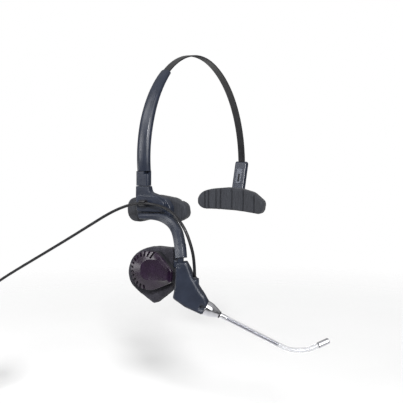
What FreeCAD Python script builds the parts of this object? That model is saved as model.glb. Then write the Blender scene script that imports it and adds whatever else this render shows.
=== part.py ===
import FreeCAD, Part
import math
import os

os.makedirs("parts", exist_ok=True)
V = FreeCAD.Vector
INTO_HEAD, OUT, TO_BACK, UP, DOWN = V(1, 0, 0), V(-1, 0, 0), V(0, 1, 0), V(0, 0, 1), V(0, 0, -1)

# Single-sided office headset with a voice tube, worn on the right ear.
# Millimetres and degrees. The origin is the centre of the ear cushion's head-side face.
# +X points into the head, +Y to its back and +Z up.
# An outline is a list of corners (y, z, rounding radius) unless its comment says otherwise.

# Fits
RUNNING = 0.05
PARTING_GAP = 0.05
END_GAP = 0.35

# Headband arch, in the plane Y = ARCH_Y. The sleeve and the band's ear side share one circle,
# so the band slides in the sleeve by turning about that circle's centre.
ARCH_Y = 12.0
ARCH_X, ARCH_Z, ARCH_R = 69.6, 69.3, 69.4
FAR_R = 80.8
JOIN_ANGLE = 70.0
FAR_CENTRE = (ARCH_X - (FAR_R - ARCH_R) * math.cos(math.radians(JOIN_ANGLE)),
              ARCH_Z - (FAR_R - ARCH_R) * math.sin(math.radians(JOIN_ANGLE)))

# Sleeve: it tapers over TAPER_SPAN degrees from its open tip
SLEEVE_TOP, SLEEVE_END, SLEEVE_STEPS = 125.4, 186.2, 8
SLEEVE_HALF, SLEEVE_IN, SLEEVE_OUT = 4.6, 2.8, 2.1
TIP_HALF, TIP_IN, TIP_OUT = 3.6, 1.6, 1.9
TAPER_SPAN, TAPER_POWER, SLEEVE_ROUND = 34.0, 0.7, 0.62
SLOT_HALF, SLOT_GAP, PAST_END = 3.1, 0.35, 3.0
POCKET_START, POCKET_END, POCKET_DEPTH, POCKET_HALF = 138.0, 184.5, 1.35, 1.25
SPRING_START, SPRING_END, SPRING_LOW, SPRING_HIGH, SPRING_HALF = 140.0, 147.0, 0.85, 1.1, 1.0

# Collar between the sleeve and the temple bracket, with a window seen from the front
COLLAR_START, COLLAR_GROW, COLLAR_ROUND = 186.45, 0.1, 1.5
COLLAR_FOOT_Z, COLLAR_OUT, COLLAR_IN = 52.2, -1.7, 3.4
WINDOW_BEFORE, WINDOW_AFTER, WINDOW_LOW, WINDOW_HIGH = 1.0, 1.3, -1.2, 4.0
WINDOW_HALF, WINDOW_SHIFT = 2.2, -3.6

# Spring band and the stop riveted to its lower end
BAND_END, BAND_HALF, BAND_THICK, BAND_ROUND = 176.0, 2.75, 0.9, 0.2
STOP_BACK, STOP_HOLE_R, STOP_R = 2.2, 0.55, 0.5
STOP_HEAD_R, STOP_HEAD = 0.95, 0.5

# Temple bracket, its raised boss, its two screws and its pad
PLATE_OUT, PLATE_IN, BOSS_OUT = -1.6, 3.4, -4.2
BRACKET_SIDE = [
    (16.6, 51.9, 0.6), (7.4, 51.9, 0.6), (6.4, 48.0, 2.5), (-5.0, 44.6, 3.0), (-9.0, 39.2, 2.5),
    (-8.2, 31.4, 1.5), (10.0, 30.4, 2.0), (15.2, 31.6, 1.5), (16.9, 40.0, 3.0),
]
BOSS_SIDE = [(15.4, 46.6, 3.0), (1.5, 46.4, 3.0), (-5.8, 42.6, 2.5), (-5.2, 36.0, 0.8), (14.4, 35.7, 0.8)]
SCREWS_AT = [(8.6, 33.0), (0.6, 33.2)]
SCREW_R, SCREW_END, SCREW_HEAD_R, SCREW_HEAD_END = 0.9, 7.2, 1.7, 0.95
SCREW_SLOT_HALF, SCREW_SLOT_LONG = 0.25, 1.2
NEAR_PAD_Y, NEAR_PAD_OUT, NEAR_PAD_IN = 5.5, 3.7, 10.6
NEAR_PAD_SIDE = [
    (29.0, 42.8, 6.9), (17.0, 44.4, 14.0), (4.0, 46.2, 14.0), (-7.0, 44.6, 12.0), (-15.2, 40.8, 5.0),
    (-16.6, 33.0, 4.4), (-10.0, 29.0, 4.4), (6.0, 31.0, 24.0), (18.0, 28.0, 12.0), (29.0, 28.2, 6.9),
]
NEAR_GROOVES = [-10.5, -5.0, 5.0, 15.5, 21.5]

# Both pads follow an upright cylinder of radius PAD_CURVE
PAD_CURVE, PAD_ROUND = 75.0, 1.6
GROOVE_DEPTH, GROOVE_REACH, GROOVE_HALF = 0.7, 5.5, 0.45

# Rest over the far ear: its pad, the plate behind it and the stem that carries them
FAR_PAD_Y, FAR_PAD_IN, FAR_PAD_OUT = 14.0, 128.4, 135.4
FAR_PAD_SIDE = [
    (39.4, 40.2, 7.0), (28.0, 41.4, 12.0), (16.0, 42.6, 20.0), (4.0, 42.0, 20.0), (-7.0, 39.8, 10.0),
    (-17.8, 33.2, 4.0), (-15.8, 23.6, 5.0), (8.0, 25.2, 30.0), (28.0, 25.8, 30.0), (39.4, 25.8, 7.0),
]
FAR_GROOVES = [33.6, 30.8, 25.0, 21.3, 11.8, 1.8, -8.6]
FAR_PLATE_SIDE = [
    (33.0, 37.4, 4.0), (17.0, 39.6, 12.0), (-3.0, 36.6, 4.0), (-4.0, 27.2, 3.0), (32.0, 28.6, 3.0),
]
FAR_PLATE_LOW, FAR_PLATE_HIGH, FAR_PLATE_ROUND = 0.2, 2.0, 0.4
TIP_PIN_ANGLE, TIP_PIN_R, TIP_PIN_SHORT, CURL_R = 0.6, 0.75, 0.4, 1.45
BAND_CLEAR_ANGLE = 0.4
STEM_WIDTH, STEM_HALF, STEM_HEAD, STEM_ROUND = 9.8, 2.268, 2.415, 1.0
STEM_HEAD_ROUND, STEM_FOOT_ROUND = 1.9, 0.8
STEM_FOOT_X, STEM_FOOT_Z = 137.2, 29.5
CURL_ROOM, CURL_ROOM_HALF = 0.4, 3.2
THROAT_HALF, THROAT_FLARE, THROAT_HIGH = 1.1, 1.7, 6.0
# Rib let into the stem's head side, centred INSERT_DOWN below the pin, with an upright slot in it
INSERT_DOWN, INSERT_LONG, INSERT_HALF, INSERT_GAP = 9.6, 6.0, 2.1, 0.1
INSERT_FLOOR, INSERT_FACE = 0.6, 2.6
RIB_SLOT_DOWN, RIB_SLOT_LONG, RIB_SLOT_HALF, RIB_SLOT_FLOOR = 1.4, 3.0, 0.75, 1.2

# Ear arm: centre x, y, z, half width in the Y-Z plane and half thickness along X
ARM = [
    (-3.8, 11.8, 32.8, 1.7, 1.9),
    (-4.9, 3.2, 33.2, 2.0, 2.1),
    (-6.3, -5.0, 33.0, 2.5, 2.3),
    (-8.2, -11.8, 31.3, 3.0, 2.5),
    (-10.0, -17.0, 28.0, 3.3, 2.6),
    (-11.6, -20.3, 23.0, 3.4, 2.7),
    (-13.0, -22.3, 17.6, 3.4, 2.75),
    (-13.8, -23.2, 13.6, 3.4, 2.8),
    (-14.5, -23.9, 9.8, 3.4, 2.8),
]
ARM_SPLIT, ARM_CAP_GROW, ARM_CAP_GAP = 6, 0.12, 0.08
# Its sections, as shares of the half width and of the half thickness
ARM_FRONT = [(-1.0, 0.02), (-0.95, 0.55), (-0.7, 0.86), (0.25, 1.0), (0.8, 0.72), (0.98, 0.4), (1.0, 0.02)]
ARM_BACK = [(-1.0, -0.02), (1.0, -0.02), (0.95, -0.6), (0.62, -0.96), (-0.62, -0.96), (-0.95, -0.6)]
ARM_WHOLE = [
    (-1.0, 0.0), (-0.95, 0.55), (-0.7, 0.86), (0.25, 1.0), (0.8, 0.72), (0.98, 0.4), (1.0, 0.0),
    (0.95, -0.6), (0.62, -0.96), (-0.62, -0.96), (-0.95, -0.6),
]

# Knuckle between the ear arm and the boom
KNUCKLE_Y, KNUCKLE_Z = -23.9, 5.0
EYE_IN, EYE_OUT, EYE_R, EYE_ROOM = -13.9, -15.7, 2.2, 0.5
NECK_HALF, NECK_TOP, NECK_ROOM_HALF, NECK_ROOM_TOP = 1.6, 11.5, 2.9, 12.0
KNUCKLE_PIN_R, KNUCKLE_PIN_START, KNUCKLE_PIN_END = 0.9, -1.9, 3.4
CHEEK_OUT, CHEEK_IN, CHEEK_HALF, CHEEK_LOW, CHEEK_HIGH = -17.0, -9.4, 3.0, 1.6, 6.6

# Boom: its side outline, and how it turns in towards the mouth about an upright line
BOOM_SIDE = [
    (-20.9, 7.0, 1.8), (-27.4, 8.0, 1.9), (-30.6, -1.6, 24.0), (-36.3, -11.9, 24.0), (-43.4, -18.0, 1.6),
    (-39.2, -26.0, 1.6), (-26.0, -20.2, 5.0), (-18.8, -15.0, 1.8), (-20.3, -7.5, 8.0),
]
BOOM_HALF, BOOM_TOP_HALF, BOOM_ROUND = 4.4, 1.6, 1.4
BOOM_X, BOOM_Y, BOOM_TURN = -13.6, -23.0, 18.0
BOOM_FLARE, BOOM_REACH = 0.7, 44.0
BOOM_TAPER_TOP, BOOM_TAPER_LOW, BOOM_ABOVE = 8.5, -3.5, 14.0
WALL, CAVITY_END = 1.4, -1.2
BOOM_SCREW_AT = V(-13.0, -26.0, -15.2)
BOOM_POST_R, BOOM_SCREW_HOLE_R, BOOM_SCREW_R, BOOM_SCREW_HEAD_R = 1.9, 0.85, 0.8, 1.55

# Nose of the boom, whose axis the voice tube shares; distances run along that axis
NOSE_BASE = V(-8.8, -37.8, -20.7)
NOSE_AXIS = V(0.358, -0.821, -0.447)
NOSE_AXIS.normalize()
NOSE_R, NOSE_TIP_R, NOSE_LENGTH = 4.75, 2.1, 9.4
NOSE_BORE, SPIGOT_R, SPIGOT_START = 1.35, 1.3, 5.2
NOSE_VENT_R, NOSE_VENT_AT, NOSE_VENT_AXIS = 0.45, 2.3, V(-0.55, 0.0, 0.83)

# Receiver: planes along X, the outlines of its cap and the tilt hinge
CAP_FACE, CAP_STEP, CAP_BACK, HOUSING_BACK = -19.0, -16.4, -14.0, -8.4
CAP_WALL, CAP_CENTRE_Z = 1.1, 0.5
CAP_RIM = [
    (11.5, 12.5, 11.3), (11.5, -11.5, 11.3), (-4.4, -11.7, 7.0), (-17.4, -6.0, 2.2), (-17.9, 1.4, 2.2),
    (-7.0, 12.5, 5.0),
]
CAP_PANEL = [
    (3.0, 7.4, 4.0), (3.0, -5.8, 3.0), (-5.0, -5.2, 2.0), (-15.4, -4.4, 1.2), (-15.8, 1.2, 1.4),
    (-10.2, 7.5, 2.0),
]
VENTS, VENT_FIRST, VENT_LAST = 14, 64.0, 262.0
VENT_START, VENT_END, VENT_HALF = 9.4, 14.0, 0.6
VENT_RING_R, VENT_RING_BORE, VENT_RING_THICK = 12.3, 8.6, 0.9
TILT_X, TILT_Y, TILT_PIN_R = -12.6, -19.5, 0.7
BARREL_R, BARREL_LOW, BARREL_HIGH, FORK_LOW, FORK_HIGH = 1.7, -8.4, 3.0, -10.8, 8.0
FORK_WEB, SWING_ROOM = 3.4, 0.75
GRILLE_R, GRILLE_THICK, GRILLE_OUT, GRILLE_HOLE_R = 7.9, 0.8, -9.4, 0.7
GRILLE_CIRCLES = [(1, 0.0), (6, 2.6), (12, 5.2)]
CUSHION_IN, CUSHION_OUT = 0.0, -8.2
CUSHION_ROUND_OUT, CUSHION_ROUND_IN = 2.4, 2.0
CUSHION = [
    (-15.6, 15.4, 2.8), (5.0, 15.4, 22.0), (16.6, 8.6, 16.0), (20.3, -2.0, 14.0), (18.6, -10.6, 12.0),
    (11.3, -16.5, 24.0), (-0.8, -23.3, 2.6), (-11.8, -14.8, 6.0), (-15.6, -8.0, 6.0),
]

# Voice tube, as distances along the nose axis and points of its bent end
FERRULE_START, FERRULE_END, FERRULE_R, FERRULE_GROOVE = 10.3, 14.8, 1.55, 0.25
CORE_START, CORE_END, CORE_R, CORE_BORE, CORE_FIT = 13.0, 50.0, 0.9, 0.55, 0.03
TUBE_R, TUBE_BORE = 1.65, 1.0
TUBE_BEND = [V(11.9, -85.3, -46.6), V(18.2, -94.6, -46.7), V(24.6, -101.2, -43.4)]
TIP_R, TIP_LENGTH, TIP_OVERLAP, TIP_MOUTH_R = 1.95, 7.2, 2.2, 1.1

# Cord: its diameter and the points of its route from the strain relief to the coil
CORD_D = 2.0
CORD_ROUTE = [
    V(-12.0, -32.1, -1.5),
    V(-13.2, -32.5, 7.2),
    V(-15.0, -31.9, 16.0),
    V(-16.2, -28.0, 27.8),
    V(-14.6, -20.2, 35.8),
    V(-11.4, -11.8, 39.6),
    V(-8.2, -2.4, 41.3),
    V(-6.8, 8.2, 41.8),
    V(-7.2, 18.4, 40.2),
    V(-8.8, 30.6, 35.2),
    V(-10.6, 45.0, 26.6),
    V(-12.0, 63.0, 16.0),
    V(-11.4, 85.0, 4.0),
    V(-12.0, 106.0, -7.6),
    V(-12.0, 121.3, -16.4),
    V(-12.0, 132.2, -25.2),
    V(-12.0, 138.3, -34.6),
    V(-12.0, 140.0, -43.6),
]
TAIL_ROUTE = [V(-12.0, 140.0, -72.4), V(-12.0, 140.7, -78.4), V(-12.0, 140.2, -84.0)]
BEND_SHARE = 0.45
RELIEF_AXIS = (CORD_ROUTE[1] - CORD_ROUTE[0]).normalize()
RELIEF_R, RELIEF_FLANGE_R, RELIEF_WALL = 1.5, 2.1, 1.1
COIL_CENTRE, COIL_R, BUNDLE_R = V(-12.0, 140.0, -58.0), 11.6, 3.5
TIE_SPREAD, TIE_FIT, TIE_THICK = 22.0, 0.03, 0.5
CLIP_AFTER, CLIP_R, CLIP_HALF, CLIP_FIT = 7, 2.0, 2.4, 0.15
CLIP_CENTRE = CORD_ROUTE[CLIP_AFTER] + V(0.06, 0.0, -0.1)

# Quick-disconnect plug, hanging down from the tail
PLUG_X, PLUG_Y, PLUG_TOP = -12.0, 140.2, -84.0
PLUG_BOOT_LENGTH, PLUG_LENGTH = 9.1, 17.0
PLUG_HALF_X, PLUG_HALF_Y, PLUG_ROUND, PLUG_EDGE = 4.0, 5.0, 2.4, 0.9
PLUG_NOSE_R, PLUG_NOSE_LENGTH = 3.2, 8.0
CONTACTS_AT = [(-1.1, -1.1), (1.1, -1.1), (-1.1, 1.1), (1.1, 1.1)]
CONTACT_R, CONTACT_START = 0.4, 4.0

nodes = {}


# ---------------------------------------------------------------- building blocks

def wire_of(corners, place):
    """A closed wire through (u, v, radius) corners; place turns (u, v) into a point."""
    starts, mids, ends = [], [], []
    count = len(corners)
    for index, (u, v, radius) in enumerate(corners):
        before = corners[index - 1]
        after = corners[(index + 1) % count]
        corner = V(u, v, 0)
        back = V(before[0] - u, before[1] - v, 0).normalize()
        ahead = V(after[0] - u, after[1] - v, 0).normalize()
        half = back.getAngle(ahead) / 2
        reach = radius / math.tan(half)
        inward = (back + ahead).normalize() if radius else V(0, 0, 0)
        starts.append(corner + back * reach)
        mids.append(corner + inward * (radius / math.sin(half) - radius))
        ends.append(corner + ahead * reach)
    edges = []
    for index in range(count):
        begin, middle, finish = (place(p.x, p.y) for p in (starts[index], mids[index], ends[index]))
        if corners[index][2]:
            edges.append(Part.Arc(begin, middle, finish).toShape())
        following = starts[(index + 1) % count]
        if (following - ends[index]).Length > 1e-4:
            edges.append(Part.LineSegment(finish, place(following.x, following.y)).toShape())
    return Part.Wire(edges)


def inset(corners, depth):
    """The same outline moved inwards by depth; corners run anticlockwise or clockwise."""
    area = sum(a[0] * b[1] - b[0] * a[1] for a, b in zip(corners, corners[1:] + corners[:1]))
    side = 1 if area > 0 else -1
    lines = []
    for a, b in zip(corners, corners[1:] + corners[:1]):
        along = V(b[0] - a[0], b[1] - a[1], 0).normalize()
        normal = V(-along.y, along.x, 0) * side
        lines.append((V(a[0], a[1], 0) + normal * depth, along))
    moved = []
    for index, corner in enumerate(corners):
        p, d = lines[index - 1]
        q, e = lines[index]
        cross = d.x * e.y - d.y * e.x
        t = ((q.x - p.x) * e.y - (q.y - p.y) * e.x) / cross
        moved.append((p.x + d.x * t, p.y + d.y * t, max(corner[2] - depth, 0.2)))
    return moved


def plate(corners, x0, x1):
    """An outline in the Y-Z plane, extruded from x0 to x1."""
    face = Part.Face(wire_of(corners, lambda y, z: V(x0, y, z)))
    return face.extrude(V(x1 - x0, 0, 0))


def box(x0, x1, y0, y1, z0, z1):
    return Part.makeBox(x1 - x0, y1 - y0, z1 - z0, V(x0, y0, z0))


def turned(corners, base, direction):
    """A solid of revolution: (radius, distance, corner radius) outline about an axis."""
    face = Part.Face(wire_of(corners, lambda r, s: V(r, 0, s)))
    solid = face.revolve(V(0, 0, 0), UP, 360)
    solid.Placement = FreeCAD.Placement(base, FreeCAD.Rotation(UP, direction))
    return solid


def ring(r_in, r_out, s0, s1, base, direction, corner=0.0):
    outline = [(r_in, s0, corner), (r_out, s0, corner), (r_out, s1, corner), (r_in, s1, corner)]
    return turned(outline, base, direction)


def rod(radius, s0, s1, base, direction):
    """A cylinder on a line, from distance s0 to s1 past its base point."""
    axis = V(direction).normalize()
    return Part.makeCylinder(radius, s1 - s0, base + axis * s0, axis)


def soften(shape, radius, pick):
    """Round the edges that pick accepts."""
    edges = [edge for edge in shape.Edges if pick(edge)]
    return shape.makeFillet(radius, edges) if edges else shape


def at_x(x):
    """A test for edges that lie in the plane X = x."""
    return lambda edge: abs(edge.BoundBox.XMin - x) < 1e-3 and abs(edge.BoundBox.XMax - x) < 1e-3


def slab(points, half):
    """A prism through points seen along Y, reaching half to each side of the arch's plane."""
    low = ARCH_Y - half
    face = Part.Face(Part.makePolygon([V(p.x, low, p.z) for p in points + points[:1]]))
    return face.extrude(V(0, 2 * half, 0))


def arch_point(radius, y, degrees, centre=(ARCH_X, ARCH_Z)):
    angle = math.radians(degrees)
    return V(centre[0] + radius * math.cos(angle), y, centre[1] + radius * math.sin(angle))


def arch_section(degrees, r0, r1, half, corner, centre=(ARCH_X, ARCH_Z)):
    outline = [(r0, -half, corner), (r1, -half, corner), (r1, half, corner), (r0, half, corner)]
    return wire_of(outline, lambda r, y: arch_point(r, ARCH_Y + y, degrees, centre))


def arch_bar(start, end, r0, r1, half, corner=0.0, centre=(ARCH_X, ARCH_Z)):
    """A bar of constant section that follows a circle of the arch from start to end degrees."""
    face = Part.Face(arch_section(start, r0, r1, half, corner, centre))
    return face.revolve(V(centre[0], ARCH_Y, centre[1]), V(0, -1, 0), end - start)


def tube_along(points, radius, name=None):
    """A round bar along straight runs joined by arcs as large as the runs allow."""
    edges, radii, begin = [], [], points[0]
    for before, corner, after in zip(points, points[1:], points[2:]):
        back, ahead = before - corner, after - corner
        half_turn = (math.pi - back.getAngle(ahead)) / 2
        reach = BEND_SHARE * min(back.Length, ahead.Length)
        bend = reach / math.tan(half_turn)
        back, ahead = V(back).normalize(), V(ahead).normalize()
        inward = (back + ahead).normalize()
        middle = corner + inward * (bend / math.cos(half_turn) - bend)
        edges.append(Part.LineSegment(begin, corner + back * reach).toShape())
        edges.append(Part.Arc(corner + back * reach, middle, corner + ahead * reach).toShape())
        begin = corner + ahead * reach
        radii.append(round(bend, 1))
    edges.append(Part.LineSegment(begin, points[-1]).toShape())
    path = Part.Wire(edges)
    circle = Part.Wire([Part.makeCircle(radius, points[0], points[1] - points[0])])
    solid = path.makePipeShell([circle], True, False)
    if name:
        print(name, "length", round(path.Length, 1), "radii", radii,
              "volume ratio", round(solid.Volume / (math.pi * radius ** 2 * path.Length), 4))
    return solid


def keep(name, shape):
    """Record a node: one solid, or a compound where the piece is made of several."""
    solids = shape.Solids
    shape = solids[0] if len(solids) == 1 else Part.makeCompound(solids)
    if not shape.isValid():
        print("INVALID", name)
    nodes[name] = shape


# ---------------------------------------------------------------- headband sleeve

def between(tip, full, share):
    return tip + (full - tip) * share


def make_sleeve():
    sections = []
    for step in range(SLEEVE_STEPS + 1):
        degrees = between(SLEEVE_TOP, SLEEVE_END, step / SLEEVE_STEPS)
        share = min((degrees - SLEEVE_TOP) / TAPER_SPAN, 1.0) ** TAPER_POWER
        half = between(TIP_HALF, SLEEVE_HALF, share)
        depth_in = between(TIP_IN, SLEEVE_IN, share)
        depth_out = between(TIP_OUT, SLEEVE_OUT, share)
        corner = SLEEVE_ROUND * depth_in
        sections.append(arch_section(degrees, ARCH_R - depth_in, ARCH_R + depth_out, half, corner))
    body = Part.makeLoft(sections, True, False)
    start, end = SLEEVE_TOP - PAST_END, SLEEVE_END + PAST_END
    slot_depth = BAND_THICK / 2 + SLOT_GAP
    split = ARCH_R - slot_depth
    slot = arch_bar(start, end, split, ARCH_R + slot_depth, SLOT_HALF)
    pocket = arch_bar(POCKET_START, POCKET_END, ARCH_R, ARCH_R + POCKET_DEPTH, POCKET_HALF)
    inner_side = arch_bar(start, end, split - 6, split - PARTING_GAP, 9)
    outer_side = arch_bar(start, end, split, split + 9, 9)
    keep("sleeve_outer", body.common(outer_side).cut(slot).cut(pocket))
    keep("sleeve_inner", body.common(inner_side))
    spring = arch_bar(SPRING_START, SPRING_END, ARCH_R + SPRING_LOW, ARCH_R + SPRING_HIGH, SPRING_HALF)
    keep("detent_spring", spring)


def make_collar():
    half = SLEEVE_HALF + COLLAR_GROW
    top = arch_section(COLLAR_START, ARCH_R - SLEEVE_IN - COLLAR_GROW, ARCH_R + SLEEVE_OUT + COLLAR_GROW,
                       half, COLLAR_ROUND)
    outline = [(COLLAR_IN, -half, COLLAR_ROUND), (COLLAR_OUT, -half, COLLAR_ROUND),
               (COLLAR_OUT, half, COLLAR_ROUND), (COLLAR_IN, half, COLLAR_ROUND)]
    foot = wire_of(outline, lambda x, y: V(x, ARCH_Y + y, COLLAR_FOOT_Z))
    body = Part.makeLoft([top, foot], True, True)
    window = arch_bar(COLLAR_START - WINDOW_BEFORE, COLLAR_START + WINDOW_AFTER, ARCH_R + WINDOW_LOW,
                      ARCH_R + WINDOW_HIGH, WINDOW_HALF)
    window.translate(V(0, WINDOW_SHIFT, 0))
    keep("stem_collar", body.cut(window))


def make_band():
    half = BAND_THICK / 2
    pin = tip_pin()
    near = arch_bar(JOIN_ANGLE, BAND_END, ARCH_R - half, ARCH_R + half, BAND_HALF, BAND_ROUND)
    far = arch_bar(TIP_PIN_ANGLE + BAND_CLEAR_ANGLE, JOIN_ANGLE, FAR_R - half, FAR_R + half, BAND_HALF,
                   BAND_ROUND, FAR_CENTRE)
    curl = rod(CURL_R, -BAND_HALF, BAND_HALF, pin, TO_BACK)
    band = near.fuse(far).fuse(curl)
    band = band.cut(rod(TIP_PIN_R + RUNNING, -5, 5, pin, TO_BACK))
    stop = arch_point(ARCH_R, ARCH_Y, BAND_END - STOP_BACK)
    radial = (stop - V(ARCH_X, ARCH_Y, ARCH_Z)).normalize()
    band = band.cut(rod(STOP_HOLE_R, -1, 1, stop, radial))
    keep("spring_band", band.removeSplitter())
    rivet = rod(STOP_R, -half, half + 0.1, stop, radial)
    rivet = rivet.fuse(rod(STOP_HEAD_R, half + 0.02, half + STOP_HEAD, stop, radial))
    keep("band_stop", rivet.removeSplitter())


# ---------------------------------------------------------------- temple bracket and pads

def make_bracket():
    """The bracket with its boss; returns the two screws, which also pass through the ear arm."""
    body = soften(plate(BRACKET_SIDE, PLATE_OUT, PLATE_IN), 0.5, at_x(PLATE_OUT))
    body = body.fuse(soften(plate(BOSS_SIDE, BOSS_OUT, PLATE_OUT + 0.5), 0.7, at_x(BOSS_OUT)))
    screws = []
    for y, z in SCREWS_AT:
        base = V(PLATE_IN, y, z)
        counterbore = rod(SCREW_HEAD_R + 0.2, -0.1, 1.0, base, OUT)
        body = body.cut(counterbore).cut(rod(SCREW_R + RUNNING, 0.9, 6, base, OUT))
        head = rod(SCREW_HEAD_R, 0.1, SCREW_HEAD_END, base, OUT)
        slot = box(PLATE_IN - 0.5, PLATE_IN + 1, y - SCREW_SLOT_LONG, y + SCREW_SLOT_LONG,
                   z - SCREW_SLOT_HALF, z + SCREW_SLOT_HALF)
        screws.append(head.cut(slot).fuse(rod(SCREW_R, 0.9, SCREW_END, base, OUT)))
    keep("temple_bracket", body.removeSplitter())
    keep("bracket_screws", Part.makeCompound(screws))
    return screws


def pad(outline, centre_x, centre_y, r_in, r_out, side, corner=0.0):
    """A cushion on the side of an upright cylinder, cut to an outline seen along X."""
    z_low = min(point[1] for point in outline) - 1
    z_high = max(point[1] for point in outline) + 1
    base = V(centre_x, centre_y, z_low)
    shell = Part.makeCylinder(r_out, z_high - z_low, base)
    shell = shell.cut(Part.makeCylinder(r_in, z_high - z_low, base))
    ends = sorted((centre_x, centre_x + side * (r_out + 1)))
    body = shell.common(plate(outline, *ends))
    return soften(body, corner, follows_outline) if corner else body


def follows_outline(edge):
    size = edge.BoundBox
    return edge.Length > 1.0 and (size.YLength > 0.5 or size.ZLength > 0.5)


def groove(y, face_x, side, z0, z1):
    """A shallow upright groove, with face_x where the pad's face is; side is where its face looks."""
    near, far = face_x - side * GROOVE_DEPTH, face_x + side * GROOVE_REACH
    return box(min(near, far), max(near, far), y - GROOVE_HALF, y + GROOVE_HALF, z0, z1)


def make_near_pad():
    centre_x = NEAR_PAD_OUT + PAD_CURVE
    body = pad(NEAR_PAD_SIDE, centre_x, NEAR_PAD_Y, centre_x - NEAR_PAD_IN, PAD_CURVE, -1, PAD_ROUND)
    for y in NEAR_GROOVES:
        body = body.cut(groove(y, NEAR_PAD_IN + 0.2, 1, 26, 50))
    keep("temple_pad", body)


def make_far_pad():
    """The far pad and its plate; returns the plate grown a little, to be cut from the stem."""
    centre_x = FAR_PAD_OUT - PAD_CURVE
    face_r = FAR_PAD_IN - centre_x
    body = pad(FAR_PAD_SIDE, centre_x, FAR_PAD_Y, face_r, PAD_CURVE, 1, PAD_ROUND)
    for y in FAR_GROOVES:
        drop = math.sqrt(face_r ** 2 - (y - FAR_PAD_Y) ** 2)
        body = body.cut(groove(y, centre_x + drop, -1, 20, 50))
    keep("far_pad", body)
    keep("far_pad_plate", pad(FAR_PLATE_SIDE, centre_x, FAR_PAD_Y, PAD_CURVE + FAR_PLATE_LOW,
                              PAD_CURVE + FAR_PLATE_HIGH, 1, FAR_PLATE_ROUND))
    return pad(FAR_PLATE_SIDE, centre_x, FAR_PAD_Y, PAD_CURVE - 9, PAD_CURVE + FAR_PLATE_HIGH + 0.1, 1)


# ---------------------------------------------------------------- stem of the far rest

def tip_pin():
    """The centre of the pin at the band's far end."""
    return arch_point(FAR_R, ARCH_Y, TIP_PIN_ANGLE, FAR_CENTRE)


def rectangle(centre, across, along, start, end, half):
    """Corners from start to end across and half to each side along."""
    corners = ((start, -half), (end, -half), (end, half), (start, half))
    return [centre + across * a + along * b for a, b in corners]


def make_stem(plate_room):
    pin = tip_pin()
    foot = V(STEM_FOOT_X, ARCH_Y, STEM_FOOT_Z)
    along = (foot - pin).normalize()
    across = V(along.z, 0, -along.x)
    length = (foot - pin).Length
    corners = []
    for shift, side, corner in ((-STEM_HEAD, -1, STEM_HEAD_ROUND), (-STEM_HEAD, 1, STEM_HEAD_ROUND),
                                (length, 1, STEM_FOOT_ROUND), (length, -1, STEM_FOOT_ROUND)):
        point = pin + along * shift + across * (STEM_HALF * side)
        corners.append((point.x, point.z, corner))
    low = ARCH_Y - STEM_WIDTH / 2
    face = Part.Face(wire_of(corners, lambda x, z: V(x, low, z)))
    stem = face.extrude(V(0, STEM_WIDTH, 0))
    stem = soften(stem, STEM_ROUND, lambda edge: edge.BoundBox.YLength < 0.01 and edge.Length > 5)
    stem = stem.cut(plate_room)
    stem = stem.cut(rod(CURL_R + CURL_ROOM, -CURL_ROOM_HALF, CURL_ROOM_HALF, pin, TO_BACK))
    low_half, top_half, up = INTO_HEAD * THROAT_HALF, INTO_HEAD * THROAT_FLARE, UP * THROAT_HIGH
    throat = [pin + low_half, pin - low_half, pin - top_half + up, pin + top_half + up]
    stem = stem.cut(slab(throat, CURL_ROOM_HALF))
    stem = stem.cut(rod(TIP_PIN_R, -STEM_WIDTH, STEM_WIDTH, pin, TO_BACK))
    centre = pin + along * INSERT_DOWN
    room = rectangle(centre, across, along, INSERT_FLOOR, INSERT_FACE + 2, INSERT_LONG)
    keep("t_stem", stem.cut(slab(room, INSERT_HALF + INSERT_GAP)))
    block = rectangle(centre, across, along, INSERT_FLOOR + INSERT_GAP, INSERT_FACE, INSERT_LONG - INSERT_GAP)
    low = centre + along * RIB_SLOT_DOWN
    slot = rectangle(low, across, along, RIB_SLOT_FLOOR, INSERT_FACE + 1, RIB_SLOT_LONG)
    keep("stem_insert", slab(block, INSERT_HALF).cut(slab(slot, RIB_SLOT_HALF)))
    reach = STEM_WIDTH / 2 - TIP_PIN_SHORT
    keep("stem_pin", rod(TIP_PIN_R, -reach, reach, pin, TO_BACK))


# ---------------------------------------------------------------- ear arm

def arm_frame(index):
    """Centre, outward direction and depth direction at a station."""
    here = V(*ARM[index][:3])
    before = V(*ARM[max(index - 1, 0)][:3])
    after = V(*ARM[min(index + 1, len(ARM) - 1)][:3])
    along = (after - before).normalize()
    outward = along.cross(INTO_HEAD).normalize()
    depth = outward.cross(along).normalize()
    if depth.x > 0:
        depth = depth * -1
    return here, outward, depth


def arm_section(index, profile, grow=0.0):
    here, outward, depth = arm_frame(index)
    half, thick = ARM[index][3] + grow, ARM[index][4] + grow
    points = [here + outward * (u * half) + depth * (v * thick) for u, v in profile]
    return Part.makePolygon(points + points[:1])


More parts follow.
